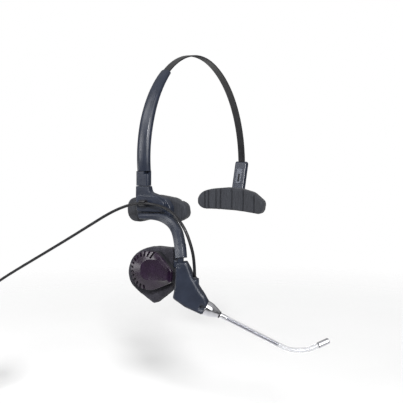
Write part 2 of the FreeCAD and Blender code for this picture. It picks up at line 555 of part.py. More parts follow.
def make_arm(screws):
    stations = range(0, ARM_SPLIT + 1)
    front = Part.makeLoft([arm_section(index, ARM_FRONT) for index in stations], True, False)
    back = Part.makeLoft([arm_section(index, ARM_BACK) for index in stations], True, False)
    for screw in screws:
        back = back.cut(screw)
        front = front.cut(screw)
    keep("ear_arm_cover", front)
    keep("ear_arm_frame", back)
    lower = range(ARM_SPLIT, len(ARM))
    cap = Part.makeLoft([arm_section(index, ARM_WHOLE, ARM_CAP_GROW) for index in lower], True, False)
    here, outward, depth = arm_frame(ARM_SPLIT)
    along = outward.cross(depth).normalize()
    if along.z > 0:
        along = along * -1
    cap = cap.cut(rod(8, -6, ARM_CAP_GAP, here, along))
    knuckle = V(EYE_OUT, KNUCKLE_Y, KNUCKLE_Z)
    eye = rod(EYE_R, 0, EYE_IN - EYE_OUT, knuckle, INTO_HEAD)
    neck = box(EYE_OUT, EYE_IN, KNUCKLE_Y - NECK_HALF, KNUCKLE_Y + NECK_HALF, KNUCKLE_Z, NECK_TOP)
    cap = cap.fuse(eye).fuse(neck)
    cap = cap.cut(rod(KNUCKLE_PIN_R + RUNNING, -1, 4, knuckle, INTO_HEAD))
    keep("arm_end_cap", cap.removeSplitter())


def make_cord_clip():
    """A small C-shaped guide on the bracket that the cord snaps into."""
    along = (CORD_ROUTE[CLIP_AFTER + 1] - CORD_ROUTE[CLIP_AFTER - 1]).normalize()
    x, y, z = CLIP_CENTRE
    body = rod(CLIP_R, -CLIP_HALF, CLIP_HALF, CLIP_CENTRE, along)
    foot = box(x, BOSS_OUT - 0.02, y - 2.2, y + 2.2, z - 1.5, z + 1.5)
    body = body.fuse(foot).cut(rod(CORD_D / 2 + CLIP_FIT, -8, 8, CLIP_CENTRE, along))
    mouth = box(x - 3, x, y - 4, y + 4, z - 0.75, z + 0.75)
    keep("cord_clip", body.cut(mouth))


# ---------------------------------------------------------------- boom

def turn_in(shape):
    """Put a shape drawn flat at X = 0 where the boom turns in towards the mouth."""
    shape.translate(V(BOOM_X, 0, 0))
    shape.rotate(V(BOOM_X, BOOM_Y, 0), UP, BOOM_TURN)
    return shape


def boom_block(depth, corner, end):
    """The boom's form moved inwards by depth and cut square to the nose at distance end."""
    outline = inset(BOOM_SIDE, depth) if depth else BOOM_SIDE
    foreshortening = math.cos(math.radians(BOOM_TURN))
    outline = [(BOOM_Y + (y - BOOM_Y) / foreshortening, z, radius) for y, z, radius in outline]
    half = BOOM_HALF - depth
    block = plate(outline, -half, half)
    if corner:
        block = soften(block, corner, lambda edge: edge.BoundBox.XLength < 1e-3)
    taper = [(BOOM_TOP_HALF - depth, BOOM_TAPER_TOP), (half + 0.2, BOOM_TAPER_LOW), (half + 9, BOOM_TAPER_LOW),
             (half + 9, BOOM_ABOVE), (BOOM_TOP_HALF - depth - 1.4, BOOM_ABOVE)]
    side = Part.Face(Part.makePolygon([V(x, -60, z) for x, z in taper + taper[:1]]))
    block = turn_in(block.cut(side.extrude(V(0, 60, 0))))
    cone = Part.makeCone(NOSE_R - depth + BOOM_REACH * BOOM_FLARE, NOSE_R - depth, BOOM_REACH,
                         NOSE_BASE - NOSE_AXIS * BOOM_REACH, NOSE_AXIS)
    return block.common(cone).cut(rod(12, end, end + 12, NOSE_BASE, NOSE_AXIS))


def knuckle_room():
    """The space the arm's eye and neck swing in, with the hole for their pin."""
    knuckle = V(EYE_OUT, KNUCKLE_Y, KNUCKLE_Z)
    room = rod(EYE_R + EYE_ROOM, -END_GAP, EYE_IN - EYE_OUT + END_GAP, knuckle, INTO_HEAD)
    neck = box(EYE_OUT - END_GAP, EYE_IN + END_GAP, KNUCKLE_Y - NECK_ROOM_HALF, KNUCKLE_Y + NECK_ROOM_HALF,
               KNUCKLE_Z, NECK_ROOM_TOP)
    pin = rod(KNUCKLE_PIN_R, KNUCKLE_PIN_START, KNUCKLE_PIN_END, knuckle, INTO_HEAD)
    return [room, neck, pin]


def make_boom():
    block = boom_block(0, BOOM_ROUND, 0.0)
    shell = block.cut(boom_block(WALL, 0.0, CAVITY_END))
    tilt = V(TILT_X, TILT_Y, 0)
    for low, high in ((BARREL_HIGH + END_GAP, FORK_HIGH), (FORK_LOW, BARREL_LOW - END_GAP)):
        arm = rod(BARREL_R, low, high, tilt, UP)
        web = box(TILT_X - BARREL_R, TILT_X + BARREL_R, TILT_Y - FORK_WEB, TILT_Y, low, high)
        shell = shell.fuse(arm.fuse(web))
    cheeks = box(CHEEK_OUT, CHEEK_IN, KNUCKLE_Y - CHEEK_HALF, KNUCKLE_Y + CHEEK_HALF, CHEEK_LOW, CHEEK_HIGH)
    socket = rod(RELIEF_R + RELIEF_WALL, -7.0, -1.3, CORD_ROUTE[0], RELIEF_AXIS)
    shell = shell.fuse(cheeks.common(block)).fuse(socket)
    for room in knuckle_room():
        shell = shell.cut(room)
    relief_hole = rod(RELIEF_R + RUNNING, -4.5, 3, CORD_ROUTE[0], RELIEF_AXIS)
    relief_hole = relief_hole.fuse(rod(RELIEF_FLANGE_R + RUNNING, -5.05, -3.9, CORD_ROUTE[0], RELIEF_AXIS))
    swing = rod(BARREL_R + SWING_ROOM, BARREL_LOW - END_GAP, BARREL_HIGH + END_GAP, tilt, UP)
    shell = shell.cut(rod(NOSE_R - 0.6, -3.5, 3, NOSE_BASE, NOSE_AXIS)).cut(relief_hole).cut(swing)
    shell = shell.cut(rod(TILT_PIN_R, -14, 8, tilt, UP))
    post = rod(BOOM_POST_R, -5.2, 5.0, BOOM_SCREW_AT, INTO_HEAD)
    shell = shell.fuse(post.common(block)).cut(rod(BOOM_SCREW_HOLE_R, -2.5, 9, BOOM_SCREW_AT, INTO_HEAD))
    shell = shell.cut(rod(BOOM_SCREW_HEAD_R + 0.1, 3.4, 9, BOOM_SCREW_AT, INTO_HEAD))
    keep("boom_outer_shell", shell.cut(turn_in(box(-PARTING_GAP, 30, -70, 20, -60, 40))))
    keep("boom_inner_shell", shell.cut(turn_in(box(-30, 0, -70, 20, -60, 40))))
    head = rod(BOOM_SCREW_HEAD_R, 3.45, 4.5, BOOM_SCREW_AT, INTO_HEAD)
    x, y, z = BOOM_SCREW_AT
    head = head.cut(box(x + 4.1, x + 9, y - 1, y + 1, z - 0.25, z + 0.25))
    keep("boom_screw", head.fuse(rod(BOOM_SCREW_R, -2.4, 3.5, BOOM_SCREW_AT, INTO_HEAD)))
    keep("knuckle_pin", knuckle_room()[-1])


def make_nose():
    outline = [
        (NOSE_R - 0.95, -2.4, 0.1), (NOSE_R - 0.65, -2.4, 0.1), (NOSE_R - 0.65, 0.05, 0),
        (NOSE_R, 0.05, 0.25), (NOSE_R * 0.93, 3.6, 6.0), (NOSE_R * 0.66, 7.2, 6.0),
        (NOSE_TIP_R, NOSE_LENGTH, 0.3), (NOSE_BORE, NOSE_LENGTH, 0.1), (NOSE_BORE, 3.6, 0.1),
        (NOSE_R - 0.95, 1.2, 0.5),
    ]
    nose = turned(outline, NOSE_BASE, NOSE_AXIS)
    keep("mic_nose", nose.cut(rod(NOSE_VENT_R, 0, 8, NOSE_BASE + NOSE_AXIS * NOSE_VENT_AT, NOSE_VENT_AXIS)))
    keep("nose_ring", ring(1.75, 2.1, NOSE_LENGTH + 0.05, NOSE_LENGTH + 0.75, NOSE_BASE, NOSE_AXIS, 0.1))
    keep("mic_capsule", ring(0.4, 2.9, -2.6, 0.4, NOSE_BASE, NOSE_AXIS, 0.2))
    keep("mic_boot", ring(2.95, 3.7, -2.9, 0.9, NOSE_BASE, NOSE_AXIS, 0.2))
    board = turn_in(box(-0.5, 0.5, -29.0, -23.6, -11.4, -4.6))
    chip = turn_in(box(0.5, 1.4, -27.4, -25.2, -9.4, -6.8))
    keep("circuit_board", board.fuse(chip))


def make_strain_relief():
    outline = [(0.1, -5.0, 0.0), (RELIEF_FLANGE_R, -5.0, 0.1), (RELIEF_FLANGE_R, -3.95, 0.1),
               (RELIEF_R, -3.95, 0.0), (RELIEF_R, -0.8, 0.3), (1.25, -0.02, 0.1), (0.1, -0.02, 0.0)]
    keep("strain_relief", turned(outline, CORD_ROUTE[0], RELIEF_AXIS))


# ---------------------------------------------------------------- receiver

def cap_form(depth):
    """The cap's form moved inwards by depth: an upright rim, then a slope up to the panel."""
    rim = inset(CAP_RIM, depth) if depth else CAP_RIM
    panel = inset(CAP_PANEL, depth * 0.6) if depth else CAP_PANEL
    step, face = CAP_STEP + depth * 0.5, CAP_FACE + depth
    low = plate(rim, CAP_BACK, step)
    high = Part.makeLoft([wire_of(rim, lambda y, z: V(step, y, z)),
                          wire_of(panel, lambda y, z: V(face, y, z))], True, True)
    return low.fuse(high).removeSplitter()


def make_cap():
    hollow = cap_form(CAP_WALL).fuse(plate(inset(CAP_RIM, CAP_WALL), CAP_BACK - 1.5, CAP_BACK + 1))
    cap = cap_form(0).cut(hollow)
    for index in range(VENTS):
        degrees = VENT_FIRST + (VENT_LAST - VENT_FIRST) * index / (VENTS - 1)
        vent = box(CAP_FACE - 1, CAP_BACK - 0.9, VENT_START, VENT_END,
                   CAP_CENTRE_Z - VENT_HALF, CAP_CENTRE_Z + VENT_HALF)
        vent.rotate(V(0, 0, CAP_CENTRE_Z), INTO_HEAD, 180 - degrees)
        cap = cap.cut(vent)
    keep("receiver_cap", cap)
    centre = V(CAP_BACK - 1.6, 0, CAP_CENTRE_Z)
    vent_ring = rod(VENT_RING_R, 0, VENT_RING_THICK, centre, INTO_HEAD)
    vent_ring = vent_ring.cut(rod(VENT_RING_BORE, -1, 2, centre, INTO_HEAD))
    keep("vent_ring", vent_ring.common(plate(inset(CAP_RIM, CAP_WALL + 0.15), -20, -10)))


def make_housing():
    body = soften(plate(inset(CAP_RIM, 0.25), CAP_BACK + 0.05, HOUSING_BACK), 1.5, at_x(HOUSING_BACK))
    body = body.cut(plate(inset(CAP_RIM, 1.6), CAP_BACK - 1, HOUSING_BACK - 1.4))
    tilt = V(TILT_X, TILT_Y, 0)
    barrel = rod(BARREL_R, BARREL_LOW, BARREL_HIGH, tilt, UP)
    web = box(TILT_X - 1.1, TILT_X + 1.1, TILT_Y, -16.0, BARREL_LOW + 2, BARREL_HIGH - 0.6)
    body = body.fuse(barrel).fuse(web)
    body = body.cut(rod(TILT_PIN_R + RUNNING, -14, 8, tilt, UP))
    body = body.cut(rod(GRILLE_R + 0.1, -2, 2, V(HOUSING_BACK, 0, 0), INTO_HEAD))
    keep("receiver_housing", body.removeSplitter())
    keep("receiver_pin", rod(TILT_PIN_R, FORK_LOW + 0.1, FORK_HIGH - 0.1, tilt, UP))


def make_driver():
    magnet = [(0.8, -13.3, 0.2), (6.5, -13.3, 0.3), (6.5, -11.6, 0.1), (9.6, -11.4, 0.2), (9.6, -10.2, 0.2),
              (8.9, -10.2, 0.0), (8.9, -10.8, 0.0), (0.8, -10.8, 0.0)]
    cone = [(0.0, -10.7, 0.0), (8.8, -10.7, 0.0), (8.8, -10.45, 0.0), (4.0, -10.3, 0.0), (0.0, -10.3, 0.0)]
    keep("speaker_driver", turned(magnet, V(0, 0, 0), INTO_HEAD))
    keep("speaker_diaphragm", turned(cone, V(0, 0, 0), INTO_HEAD))
    grille = Part.makeCylinder(GRILLE_R, GRILLE_THICK, V(GRILLE_OUT, 0, 0), INTO_HEAD)
    for count, radius in GRILLE_CIRCLES:
        for index in range(count):
            angle = 2 * math.pi * index / count
            centre = V(GRILLE_OUT - 1.6, radius * math.cos(angle), radius * math.sin(angle))
            grille = grille.cut(Part.makeCylinder(GRILLE_HOLE_R, 3, centre, INTO_HEAD))
    keep("speaker_grille", grille)


def make_cushion():
    body = plate(CUSHION, CUSHION_OUT, CUSHION_IN)
    body = soften(body, CUSHION_ROUND_OUT, at_x(CUSHION_OUT))
    keep("ear_cushion", soften(body, CUSHION_ROUND_IN, at_x(CUSHION_IN)))


# ---------------------------------------------------------------- voice tube

def make_voice_tube():
    waist = FERRULE_R - FERRULE_GROOVE
    ferrule = [
        (CORE_R + CORE_FIT, SPIGOT_START, 0.0), (SPIGOT_R, SPIGOT_START, 0.1), (SPIGOT_R, FERRULE_START, 0.0),
        (FERRULE_R, FERRULE_START, 0.15), (FERRULE_R, 11.4, 0.0), (waist, 11.4, 0.0), (waist, 11.8, 0.0),
        (FERRULE_R, 11.8, 0.0), (FERRULE_R, 13.1, 0.0), (waist, 13.1, 0.0), (waist, 13.5, 0.0),
        (FERRULE_R, 13.5, 0.0), (FERRULE_R, FERRULE_END, 0.15), (CORE_R + CORE_FIT, FERRULE_END, 0.0),
    ]
    keep("tube_ferrule", turned(ferrule, NOSE_BASE, NOSE_AXIS))
    keep("tube_core", ring(CORE_BORE, CORE_R, CORE_START, CORE_END, NOSE_BASE, NOSE_AXIS, 0.05))
    path = [NOSE_BASE + NOSE_AXIS * (FERRULE_END + 0.05)] + TUBE_BEND
    keep("tube_clear", tube_along(path, TUBE_R, "voice tube").cut(tube_along(path, TUBE_BORE)))
    end = TUBE_BEND[-1]
    axis = (TUBE_BEND[-1] - TUBE_BEND[-2]).normalize()
    front = TIP_LENGTH - TIP_OVERLAP
    tip = [(TUBE_R + 0.02, -TIP_OVERLAP, 0.05), (TIP_R, -TIP_OVERLAP, 0.1), (TIP_R, front, 0.5),
           (TIP_MOUTH_R, front, 0.1), (TIP_MOUTH_R, 0.05, 0.0), (TUBE_R + 0.02, 0.05, 0.0)]
    keep("tube_tip", turned(tip, end, axis))
    keep("tip_screen", Part.makeCylinder(TIP_MOUTH_R - RUNNING, 0.6, end + axis * (front - 1.4), axis))


# ---------------------------------------------------------------- cord and plug

def make_cord():
    keep("cord_tube", tube_along(CORD_ROUTE, CORD_D / 2, "cord"))
    keep("cord_tail", tube_along(TAIL_ROUTE, CORD_D / 2, "tail"))
    keep("cord_coil", Part.makeTorus(COIL_R, BUNDLE_R, COIL_CENTRE, INTO_HEAD))
    start = COIL_CENTRE + V(0, COIL_R, 0)
    wraps = []
    for radius in (BUNDLE_R + TIE_THICK, BUNDLE_R + TIE_FIT):
        disc = Part.Face(Part.Wire([Part.makeCircle(radius, start, UP)]))
        disc.rotate(COIL_CENTRE, INTO_HEAD, -TIE_SPREAD / 2)
        wraps.append(disc.revolve(COIL_CENTRE, INTO_HEAD, TIE_SPREAD))
    keep("coil_tie", wraps[0].cut(wraps[1]))


def make_plug():
    boot = [(0.1, 0.02, 0.0), (1.7, 0.02, 0.3), (2.1, 3.2, 0.1), (1.75, 3.5, 0.1), (1.85, 4.2, 0.1),
            (2.4, 4.5, 0.1), (2.6, 6.4, 0.1), (2.1, 6.7, 0.1), (2.2, 7.4, 0.1), (2.9, 7.7, 0.1),
            (3.1, 9.0, 0.1), (0.1, 9.0, 0.0)]
    keep("plug_boot", turned(boot, V(PLUG_X, PLUG_Y, PLUG_TOP), DOWN))
    base = PLUG_TOP - PLUG_BOOT_LENGTH
    body = box(PLUG_X - PLUG_HALF_X, PLUG_X + PLUG_HALF_X, PLUG_Y - PLUG_HALF_Y, PLUG_Y + PLUG_HALF_Y,
               base - PLUG_LENGTH, base)
    body = soften(body, PLUG_ROUND, lambda edge: edge.BoundBox.ZLength > 10)
    body = soften(body, PLUG_EDGE, lambda edge: edge.BoundBox.ZLength < 0.1)
    button = box(PLUG_X - 4.6, PLUG_X - 3.2, PLUG_Y - 2.6, PLUG_Y + 2.6, base - 12.0, base - 5.0)
    room = box(PLUG_X - 5.0, PLUG_X - 3.1, PLUG_Y - 2.7, PLUG_Y + 2.7, base - 12.1, base - 4.9)
    keep("plug_shell", body.cut(room))
    keep("plug_grip", soften(button, 0.5, at_x(PLUG_X - 4.6)))
    nose_top = V(PLUG_X, PLUG_Y, base - PLUG_LENGTH - RUNNING)
    nose = rod(PLUG_NOSE_R, 0, PLUG_NOSE_LENGTH, nose_top, DOWN)
    contacts = []
    for x, y in CONTACTS_AT:
        at = nose_top + V(x, y, 0)
        contacts.append(rod(CONTACT_R, CONTACT_START, PLUG_NOSE_LENGTH - 0.2, at, DOWN))
        nose = nose.cut(rod(CONTACT_R + RUNNING, CONTACT_START - 0.1, PLUG_NOSE_LENGTH + 1, at, DOWN))
    keep("plug_nose", nose)
    keep("plug_contacts", Part.makeCompound(contacts))


make_sleeve()
make_collar()
make_band()
screw_shapes = make_bracket()
make_near_pad()
make_stem(make_far_pad())
make_arm(screw_shapes)
make_cord_clip()
make_boom()
make_nose()
make_strain_relief()
make_cap()
make_housing()
make_driver()
make_cushion()
make_voice_tube()
make_cord()
make_plug()

for name, shape in nodes.items():
    shape.exportStep("parts/" + name + ".step")
    print(name, "solids", len(shape.Solids), "volume", round(shape.Volume, 1), "valid", shape.isValid())
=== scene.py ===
import math

import bmesh
import bpy
import numpy as np
from mathutils import Matrix, Vector, noise


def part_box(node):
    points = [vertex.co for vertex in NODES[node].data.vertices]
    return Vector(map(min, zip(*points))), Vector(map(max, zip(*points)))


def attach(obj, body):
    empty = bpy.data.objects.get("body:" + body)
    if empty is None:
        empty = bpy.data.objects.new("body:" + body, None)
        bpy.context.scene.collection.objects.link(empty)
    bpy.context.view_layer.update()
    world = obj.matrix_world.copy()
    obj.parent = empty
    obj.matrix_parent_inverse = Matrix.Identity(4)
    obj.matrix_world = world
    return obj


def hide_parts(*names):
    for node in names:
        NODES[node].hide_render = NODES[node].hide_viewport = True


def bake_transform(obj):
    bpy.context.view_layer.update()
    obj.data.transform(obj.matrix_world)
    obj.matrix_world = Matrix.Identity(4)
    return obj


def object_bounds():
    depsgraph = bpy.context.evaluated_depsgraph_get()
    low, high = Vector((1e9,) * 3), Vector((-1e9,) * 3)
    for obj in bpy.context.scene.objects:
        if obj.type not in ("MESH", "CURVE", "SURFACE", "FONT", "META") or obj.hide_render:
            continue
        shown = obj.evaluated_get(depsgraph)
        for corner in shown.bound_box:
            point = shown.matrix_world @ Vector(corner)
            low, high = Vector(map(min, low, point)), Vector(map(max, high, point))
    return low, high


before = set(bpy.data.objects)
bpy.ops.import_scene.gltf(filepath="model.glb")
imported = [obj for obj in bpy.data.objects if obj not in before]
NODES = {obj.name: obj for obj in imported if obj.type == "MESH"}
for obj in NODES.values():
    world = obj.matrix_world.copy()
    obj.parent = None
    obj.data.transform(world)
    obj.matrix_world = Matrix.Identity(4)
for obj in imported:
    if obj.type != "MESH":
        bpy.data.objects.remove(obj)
CAD_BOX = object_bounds()
scene = bpy.context.scene
MM = 0.001


def object_from(bm, name):
    """A linked object with the faces drawn so far."""
    mesh = bpy.data.meshes.new(name)
    bm.to_mesh(mesh)
    bm.free()
    made = bpy.data.objects.new(name, mesh)
    scene.collection.objects.link(made)
    return made


def close_rings(bm, rings):
    """Faces between each ring of points and the next, and one over each end."""
    count = len(rings[0])
    for first, second in zip(rings, rings[1:]):
        for k in range(count):
            after = (k + 1) % count
            bm.faces.new((first[k], first[after], second[after], second[k]))
    bm.faces.new(rings[0])
    bm.faces.new(list(reversed(rings[-1])))
    bmesh.ops.recalc_face_normals(bm, faces=bm.faces)


# ---------------------------------------------------------------- camera and light

CAMERA_PLACE = Vector((-0.5070, -0.3000, 0.0940))
CAMERA_AIM = Vector((0.06477, 0.00402, 0.03731))
LENS_MM, SENSOR_MM = 82.95, 36.0
CLIP_NEAR, CLIP_FAR = 0.01, 60.0
# The floor fades out between its solid middle and its edge
FLOOR_GAP = 0.002
FLOOR_PLACE = (0.17, 0.06)
FLOOR_RADIUS, FLOOR_SOLID, FLOOR_EDGE = 0.62, 0.16, 0.02
FLOOR_DARK, FLOOR_LIGHT = 0.71, 0.73
# The backdrop's strength through clear plastic, and in reflections at the horizon and overhead
THROUGH_CLEAR = 0.80
WORLD_LOW, WORLD_HIGH = 0.12, 0.55
WORLD_LOW_Z, WORLD_HIGH_Z = 0.12, 0.75
SUN_SIZE_DEG = 10.0
SUN_PLACE = Vector((-0.80, -0.52, 0.46))
SUN_POWER = 4.0
LIGHT_AIM = (0.0, 0.0, 0.06)
# Name, place, width, height and watts of each soft light
SOFTBOXES = [
    ("left_low", (-0.68, 0.60, 0.24), 0.14, 0.36, 2.6),
    ("left_high", (-0.46, 0.52, 0.78), 0.18, 0.60, 1.3),
    ("side_low", (-0.10, 0.46, -0.03), 0.34, 0.08, 0.35),
    ("crest_strip", (-0.46, -0.80, 0.28), 0.36, 0.45, 5.0),
    ("crest_high", (-0.30, -0.60, 0.72), 0.30, 0.30, 1.0),
    ("slope_box", (-0.46, 0.36, 0.56), 0.50, 0.24, 1.1),
]


def aim(obj, target):
    """Turn a camera or a light so that it looks at a point."""
    obj.rotation_mode = "QUATERNION"
    obj.rotation_quaternion = (Vector(target) - obj.location).to_track_quat("-Z", "Y")


def make_camera():
    data = bpy.data.cameras.new("camera")
    data.lens = LENS_MM
    data.sensor_width = SENSOR_MM
    data.clip_start, data.clip_end = CLIP_NEAR, CLIP_FAR
    camera = bpy.data.objects.new("camera", data)
    scene.collection.objects.link(camera)
    camera.location = CAMERA_PLACE
    aim(camera, CAMERA_AIM)
    scene.camera = camera


def make_world():
    """A pale studio: a white backdrop, with a dim horizon and a softly lit ceiling in the reflections."""
    world = bpy.data.worlds.new("studio")
    world.use_nodes = True
    tree = world.node_tree
    place = tree.nodes.new("ShaderNodeTexCoord")
    split = tree.nodes.new("ShaderNodeSeparateXYZ")
    tree.links.new(place.outputs["Generated"], split.inputs[0])
    ramp = tree.nodes.new("ShaderNodeMapRange")
    for name, number in (("From Min", WORLD_LOW_Z), ("From Max", WORLD_HIGH_Z),
                         ("To Min", WORLD_LOW), ("To Max", WORLD_HIGH)):
        ramp.inputs[name].default_value = number
    tree.links.new(split.outputs["Z"], ramp.inputs["Value"])
    path = tree.nodes.new("ShaderNodeLightPath")
    through = tree.nodes.new("ShaderNodeMath")
    through.operation = "MAXIMUM"
    tree.links.new(path.outputs["Is Camera Ray"], through.inputs[0])
    dimmed = tree.nodes.new("ShaderNodeMath")
    dimmed.operation = "MULTIPLY"
    dimmed.inputs[1].default_value = THROUGH_CLEAR
    tree.links.new(path.outputs["Is Transmission Ray"], dimmed.inputs[0])
    tree.links.new(dimmed.outputs[0], through.inputs[1])
    level = tree.nodes.new("ShaderNodeMath")
    level.operation = "MAXIMUM"
    tree.links.new(through.outputs[0], level.inputs[0])
    tree.links.new(ramp.outputs["Result"], level.inputs[1])
    back = tree.nodes["Background"]
    back.inputs["Color"].default_value = (1.0, 1.0, 1.0, 1.0)
    tree.links.new(level.outputs[0], back.inputs["Strength"])
    scene.world = world


def area_light(name, place, target, width, height, watts):
    data = bpy.data.lights.new(name, "AREA")
    data.shape = "RECTANGLE"
    data.size, data.size_y = width, height
    data.energy = watts
    light = bpy.data.objects.new(name, data)
    scene.collection.objects.link(light)
    light.location = place
    aim(light, target)


def make_lights():
    sun = bpy.data.lights.new("key", "SUN")
    sun.energy = SUN_POWER
    sun.angle = math.radians(SUN_SIZE_DEG)
    key = bpy.data.objects.new("key", sun)
    scene.collection.objects.link(key)
    key.location = SUN_PLACE
    aim(key, (0.0, 0.0, 0.0))
    for name, place, width, height, watts in SOFTBOXES:
        area_light(name, place, LIGHT_AIM, width, height, watts)


def make_floor():
    """A pale disc that catches the shadow, fades out into the backdrop and can't be seen through the tube."""
    bm = bmesh.new()
    bmesh.ops.create_circle(bm, cap_ends=True, segments=96, radius=FLOOR_RADIUS)
    floor = object_from(bm, "floor")
    floor.location = (*FLOOR_PLACE, CAD_BOX[0].z - FLOOR_GAP)
    look = Look("floor_paint", Roughness=0.9)
    look.vary("Base Color", look.grain(6.0, 3.0), grey(FLOOR_DARK), grey(FLOOR_LIGHT))
    look.shader.inputs["Specular IOR Level"].default_value = 0.0
    reach = look.node("ShaderNodeVectorMath", operation="LENGTH")
    look.link(look.place(), reach.inputs[0])
    fade = look.remap(reach.outputs["Value"], FLOOR_SOLID, FLOOR_RADIUS - FLOOR_EDGE, 1.0, 0.0)
    path = look.node("ShaderNodeLightPath")
    seen = look.node("ShaderNodeMath", operation="SUBTRACT")
    seen.inputs[0].default_value = 1.0
    look.link(path.outputs["Is Transmission Ray"], seen.inputs[1])
    solid = look.node("ShaderNodeMath", operation="MULTIPLY")
    look.link(fade, solid.inputs[0])
    look.link(seen.outputs["Value"], solid.inputs[1])
    look.link(solid.outputs["Value"], look.shader.inputs["Alpha"])
    floor.data.materials.append(look.material)


# ---------------------------------------------------------------- materials

class Look:
    """A node material: a principled shader, with patterns in object space joined to its sockets."""

    def __init__(self, name, **sockets):
        self.material = bpy.data.materials.new(name)
        self.material.use_nodes = True
        self.tree = self.material.node_tree
        self.shader = self.tree.nodes["Principled BSDF"]
        for socket, value in sockets.items():
            self.shader.inputs[socket.replace("_", " ")].default_value = value

    def node(self, kind, **settings):
        made = self.tree.nodes.new(kind)
        for name, value in settings.items():
            setattr(made, name, value)
        return made

    def link(self, source, target):
        self.tree.links.new(source, target)

    def place(self, stretch=(1.0, 1.0, 1.0)):
        coords = self.node("ShaderNodeTexCoord")
        if stretch == (1.0, 1.0, 1.0):
            return coords.outputs["Object"]
        mapping = self.node("ShaderNodeMapping")
        mapping.inputs["Scale"].default_value = stretch
        self.link(coords.outputs["Object"], mapping.inputs["Vector"])
        return mapping.outputs["Vector"]

    def grain(self, scale, detail=2.0, stretch=(1.0, 1.0, 1.0), rough=0.5):
        """Fractal noise; scale is in features per metre."""
        made = self.node("ShaderNodeTexNoise")
        made.inputs["Scale"].default_value = scale
        made.inputs["Detail"].default_value = detail
        made.inputs["Roughness"].default_value = rough
        self.link(self.place(stretch), made.inputs["Vector"])
        return made.outputs["Fac"]

    def cells(self, scale, stretch=(1.0, 1.0, 1.0), feature="F1"):
        made = self.node("ShaderNodeTexVoronoi", feature=feature)
        made.inputs["Scale"].default_value = scale
        self.link(self.place(stretch), made.inputs["Vector"])
        return made.outputs["Distance"]

    def remap(self, value, low, high, out_low, out_high):
        made = self.node("ShaderNodeMapRange")
        for name, number in (("From Min", low), ("From Max", high),
                             ("To Min", out_low), ("To Max", out_high)):
            made.inputs[name].default_value = number
        self.link(value, made.inputs["Value"])
        return made.outputs["Result"]

    def blend(self, factor, first, second):
        """Colours or colour outputs, mixed by a factor."""
        made = self.node("ShaderNodeMix", data_type="RGBA")
        self.link(factor, made.inputs["Factor"])
        for socket, value in ((made.inputs[6], first), (made.inputs[7], second)):
            if isinstance(value, tuple):
                socket.default_value = value
            else:
                self.link(value, socket)
        return made.outputs[2]

    def vary(self, socket, factor, first, second):
        mixed = self.blend(self.remap(factor, 0.3, 0.7, 0.0, 1.0), first, second)
        self.link(mixed, self.shader.inputs[socket])

    def gloss(self, factor, low, high):
        self.link(self.remap(factor, 0.3, 0.7, low, high), self.shader.inputs["Roughness"])

    def soft_edges(self, radius):
        """The surface direction, rounded over at hard edges."""
        made = self.node("ShaderNodeBevel", samples=6)
        made.inputs["Radius"].default_value = radius
        return made.outputs["Normal"]

    def relief(self, height, strength, distance, normal=None):
        made = self.node("ShaderNodeBump")
        made.inputs["Strength"].default_value = strength
        made.inputs["Distance"].default_value = distance
        self.link(height, made.inputs["Height"])
        if normal is not None:
            self.link(normal, made.inputs["Normal"])
        self.link(made.outputs["Normal"], self.shader.inputs["Normal"])
        return made.outputs["Normal"]

    def worn_edges(self, rounded):
        """One on a hard edge and nought on open faces, broken up by noise."""
        flat = self.node("ShaderNodeNewGeometry")
        dot = self.node("ShaderNodeVectorMath", operation="DOT_PRODUCT")
        self.link(rounded, dot.inputs[0])
        self.link(flat.outputs["Normal"], dot.inputs[1])
        edge = self.remap(dot.outputs["Value"], 0.97, 0.80, 0.0, 1.0)
        rub = self.remap(self.grain(420.0, 4.0), 0.42, 0.62, 0.0, 0.8)
        both = self.node("ShaderNodeMath", operation="MULTIPLY")
        self.link(edge, both.inputs[0])
        self.link(rub, both.inputs[1])
        return both.outputs[0]


def rgb(red, green, blue):
    return (red, green, blue, 1.0)


def grey(level):
    return rgb(level, level, level)


def plastic(name, dark, light, rough, worn, grain=0.00001, level=0.4, soft=0.0003):
    """Moulded plastic: spark-eroded grain, faint colour clouding, edges rubbed a little brighter."""
    look = Look(name, IOR=1.5)
    look.shader.inputs["Specular IOR Level"].default_value = level
    rounded = look.soft_edges(soft)
    look.relief(look.grain(5200.0, 3.0), 0.3, grain, rounded)
    base = look.blend(look.remap(look.grain(160.0, 4.0), 0.3, 0.7, 0.0, 1.0), dark, light)
    edged = look.blend(look.worn_edges(rounded), base, worn)
    look.link(edged, look.shader.inputs["Base Color"])
    look.gloss(look.grain(900.0, 4.0), rough - 0.04, rough + 0.05)
    return look.material


def metal(name, dark, light, rough, stretch=(1.0, 1.0, 1.0), scratch=0.000004):
    look = Look(name, Metallic=1.0)
    look.vary("Base Color", look.grain(300.0, 3.0), dark, light)
    look.gloss(look.grain(2600.0, 4.0, stretch), rough * 0.7, rough * 1.4)
    look.relief(look.grain(4200.0, 2.0, stretch), 0.35, scratch, look.soft_edges(0.00015))
    return look.material


def rubber(name, dark, light, rough, height, scale, stretch=(1.0, 1.0, 1.0)):
    """Matte elastomer with a fine drawn texture."""
    look = Look(name, IOR=1.48)
    look.shader.inputs["Specular IOR Level"].default_value = 0.3
    look.shader.inputs["Sheen Weight"].default_value = 0.06
    look.shader.inputs["Sheen Roughness"].default_value = 0.6
    look.vary("Base Color", look.grain(700.0, 5.0, stretch), dark, light)
    look.gloss(look.grain(1500.0, 3.0, stretch), rough - 0.06, rough + 0.06)
    look.relief(look.grain(scale, 3.0, stretch), 0.8, height, None)
    return look.material


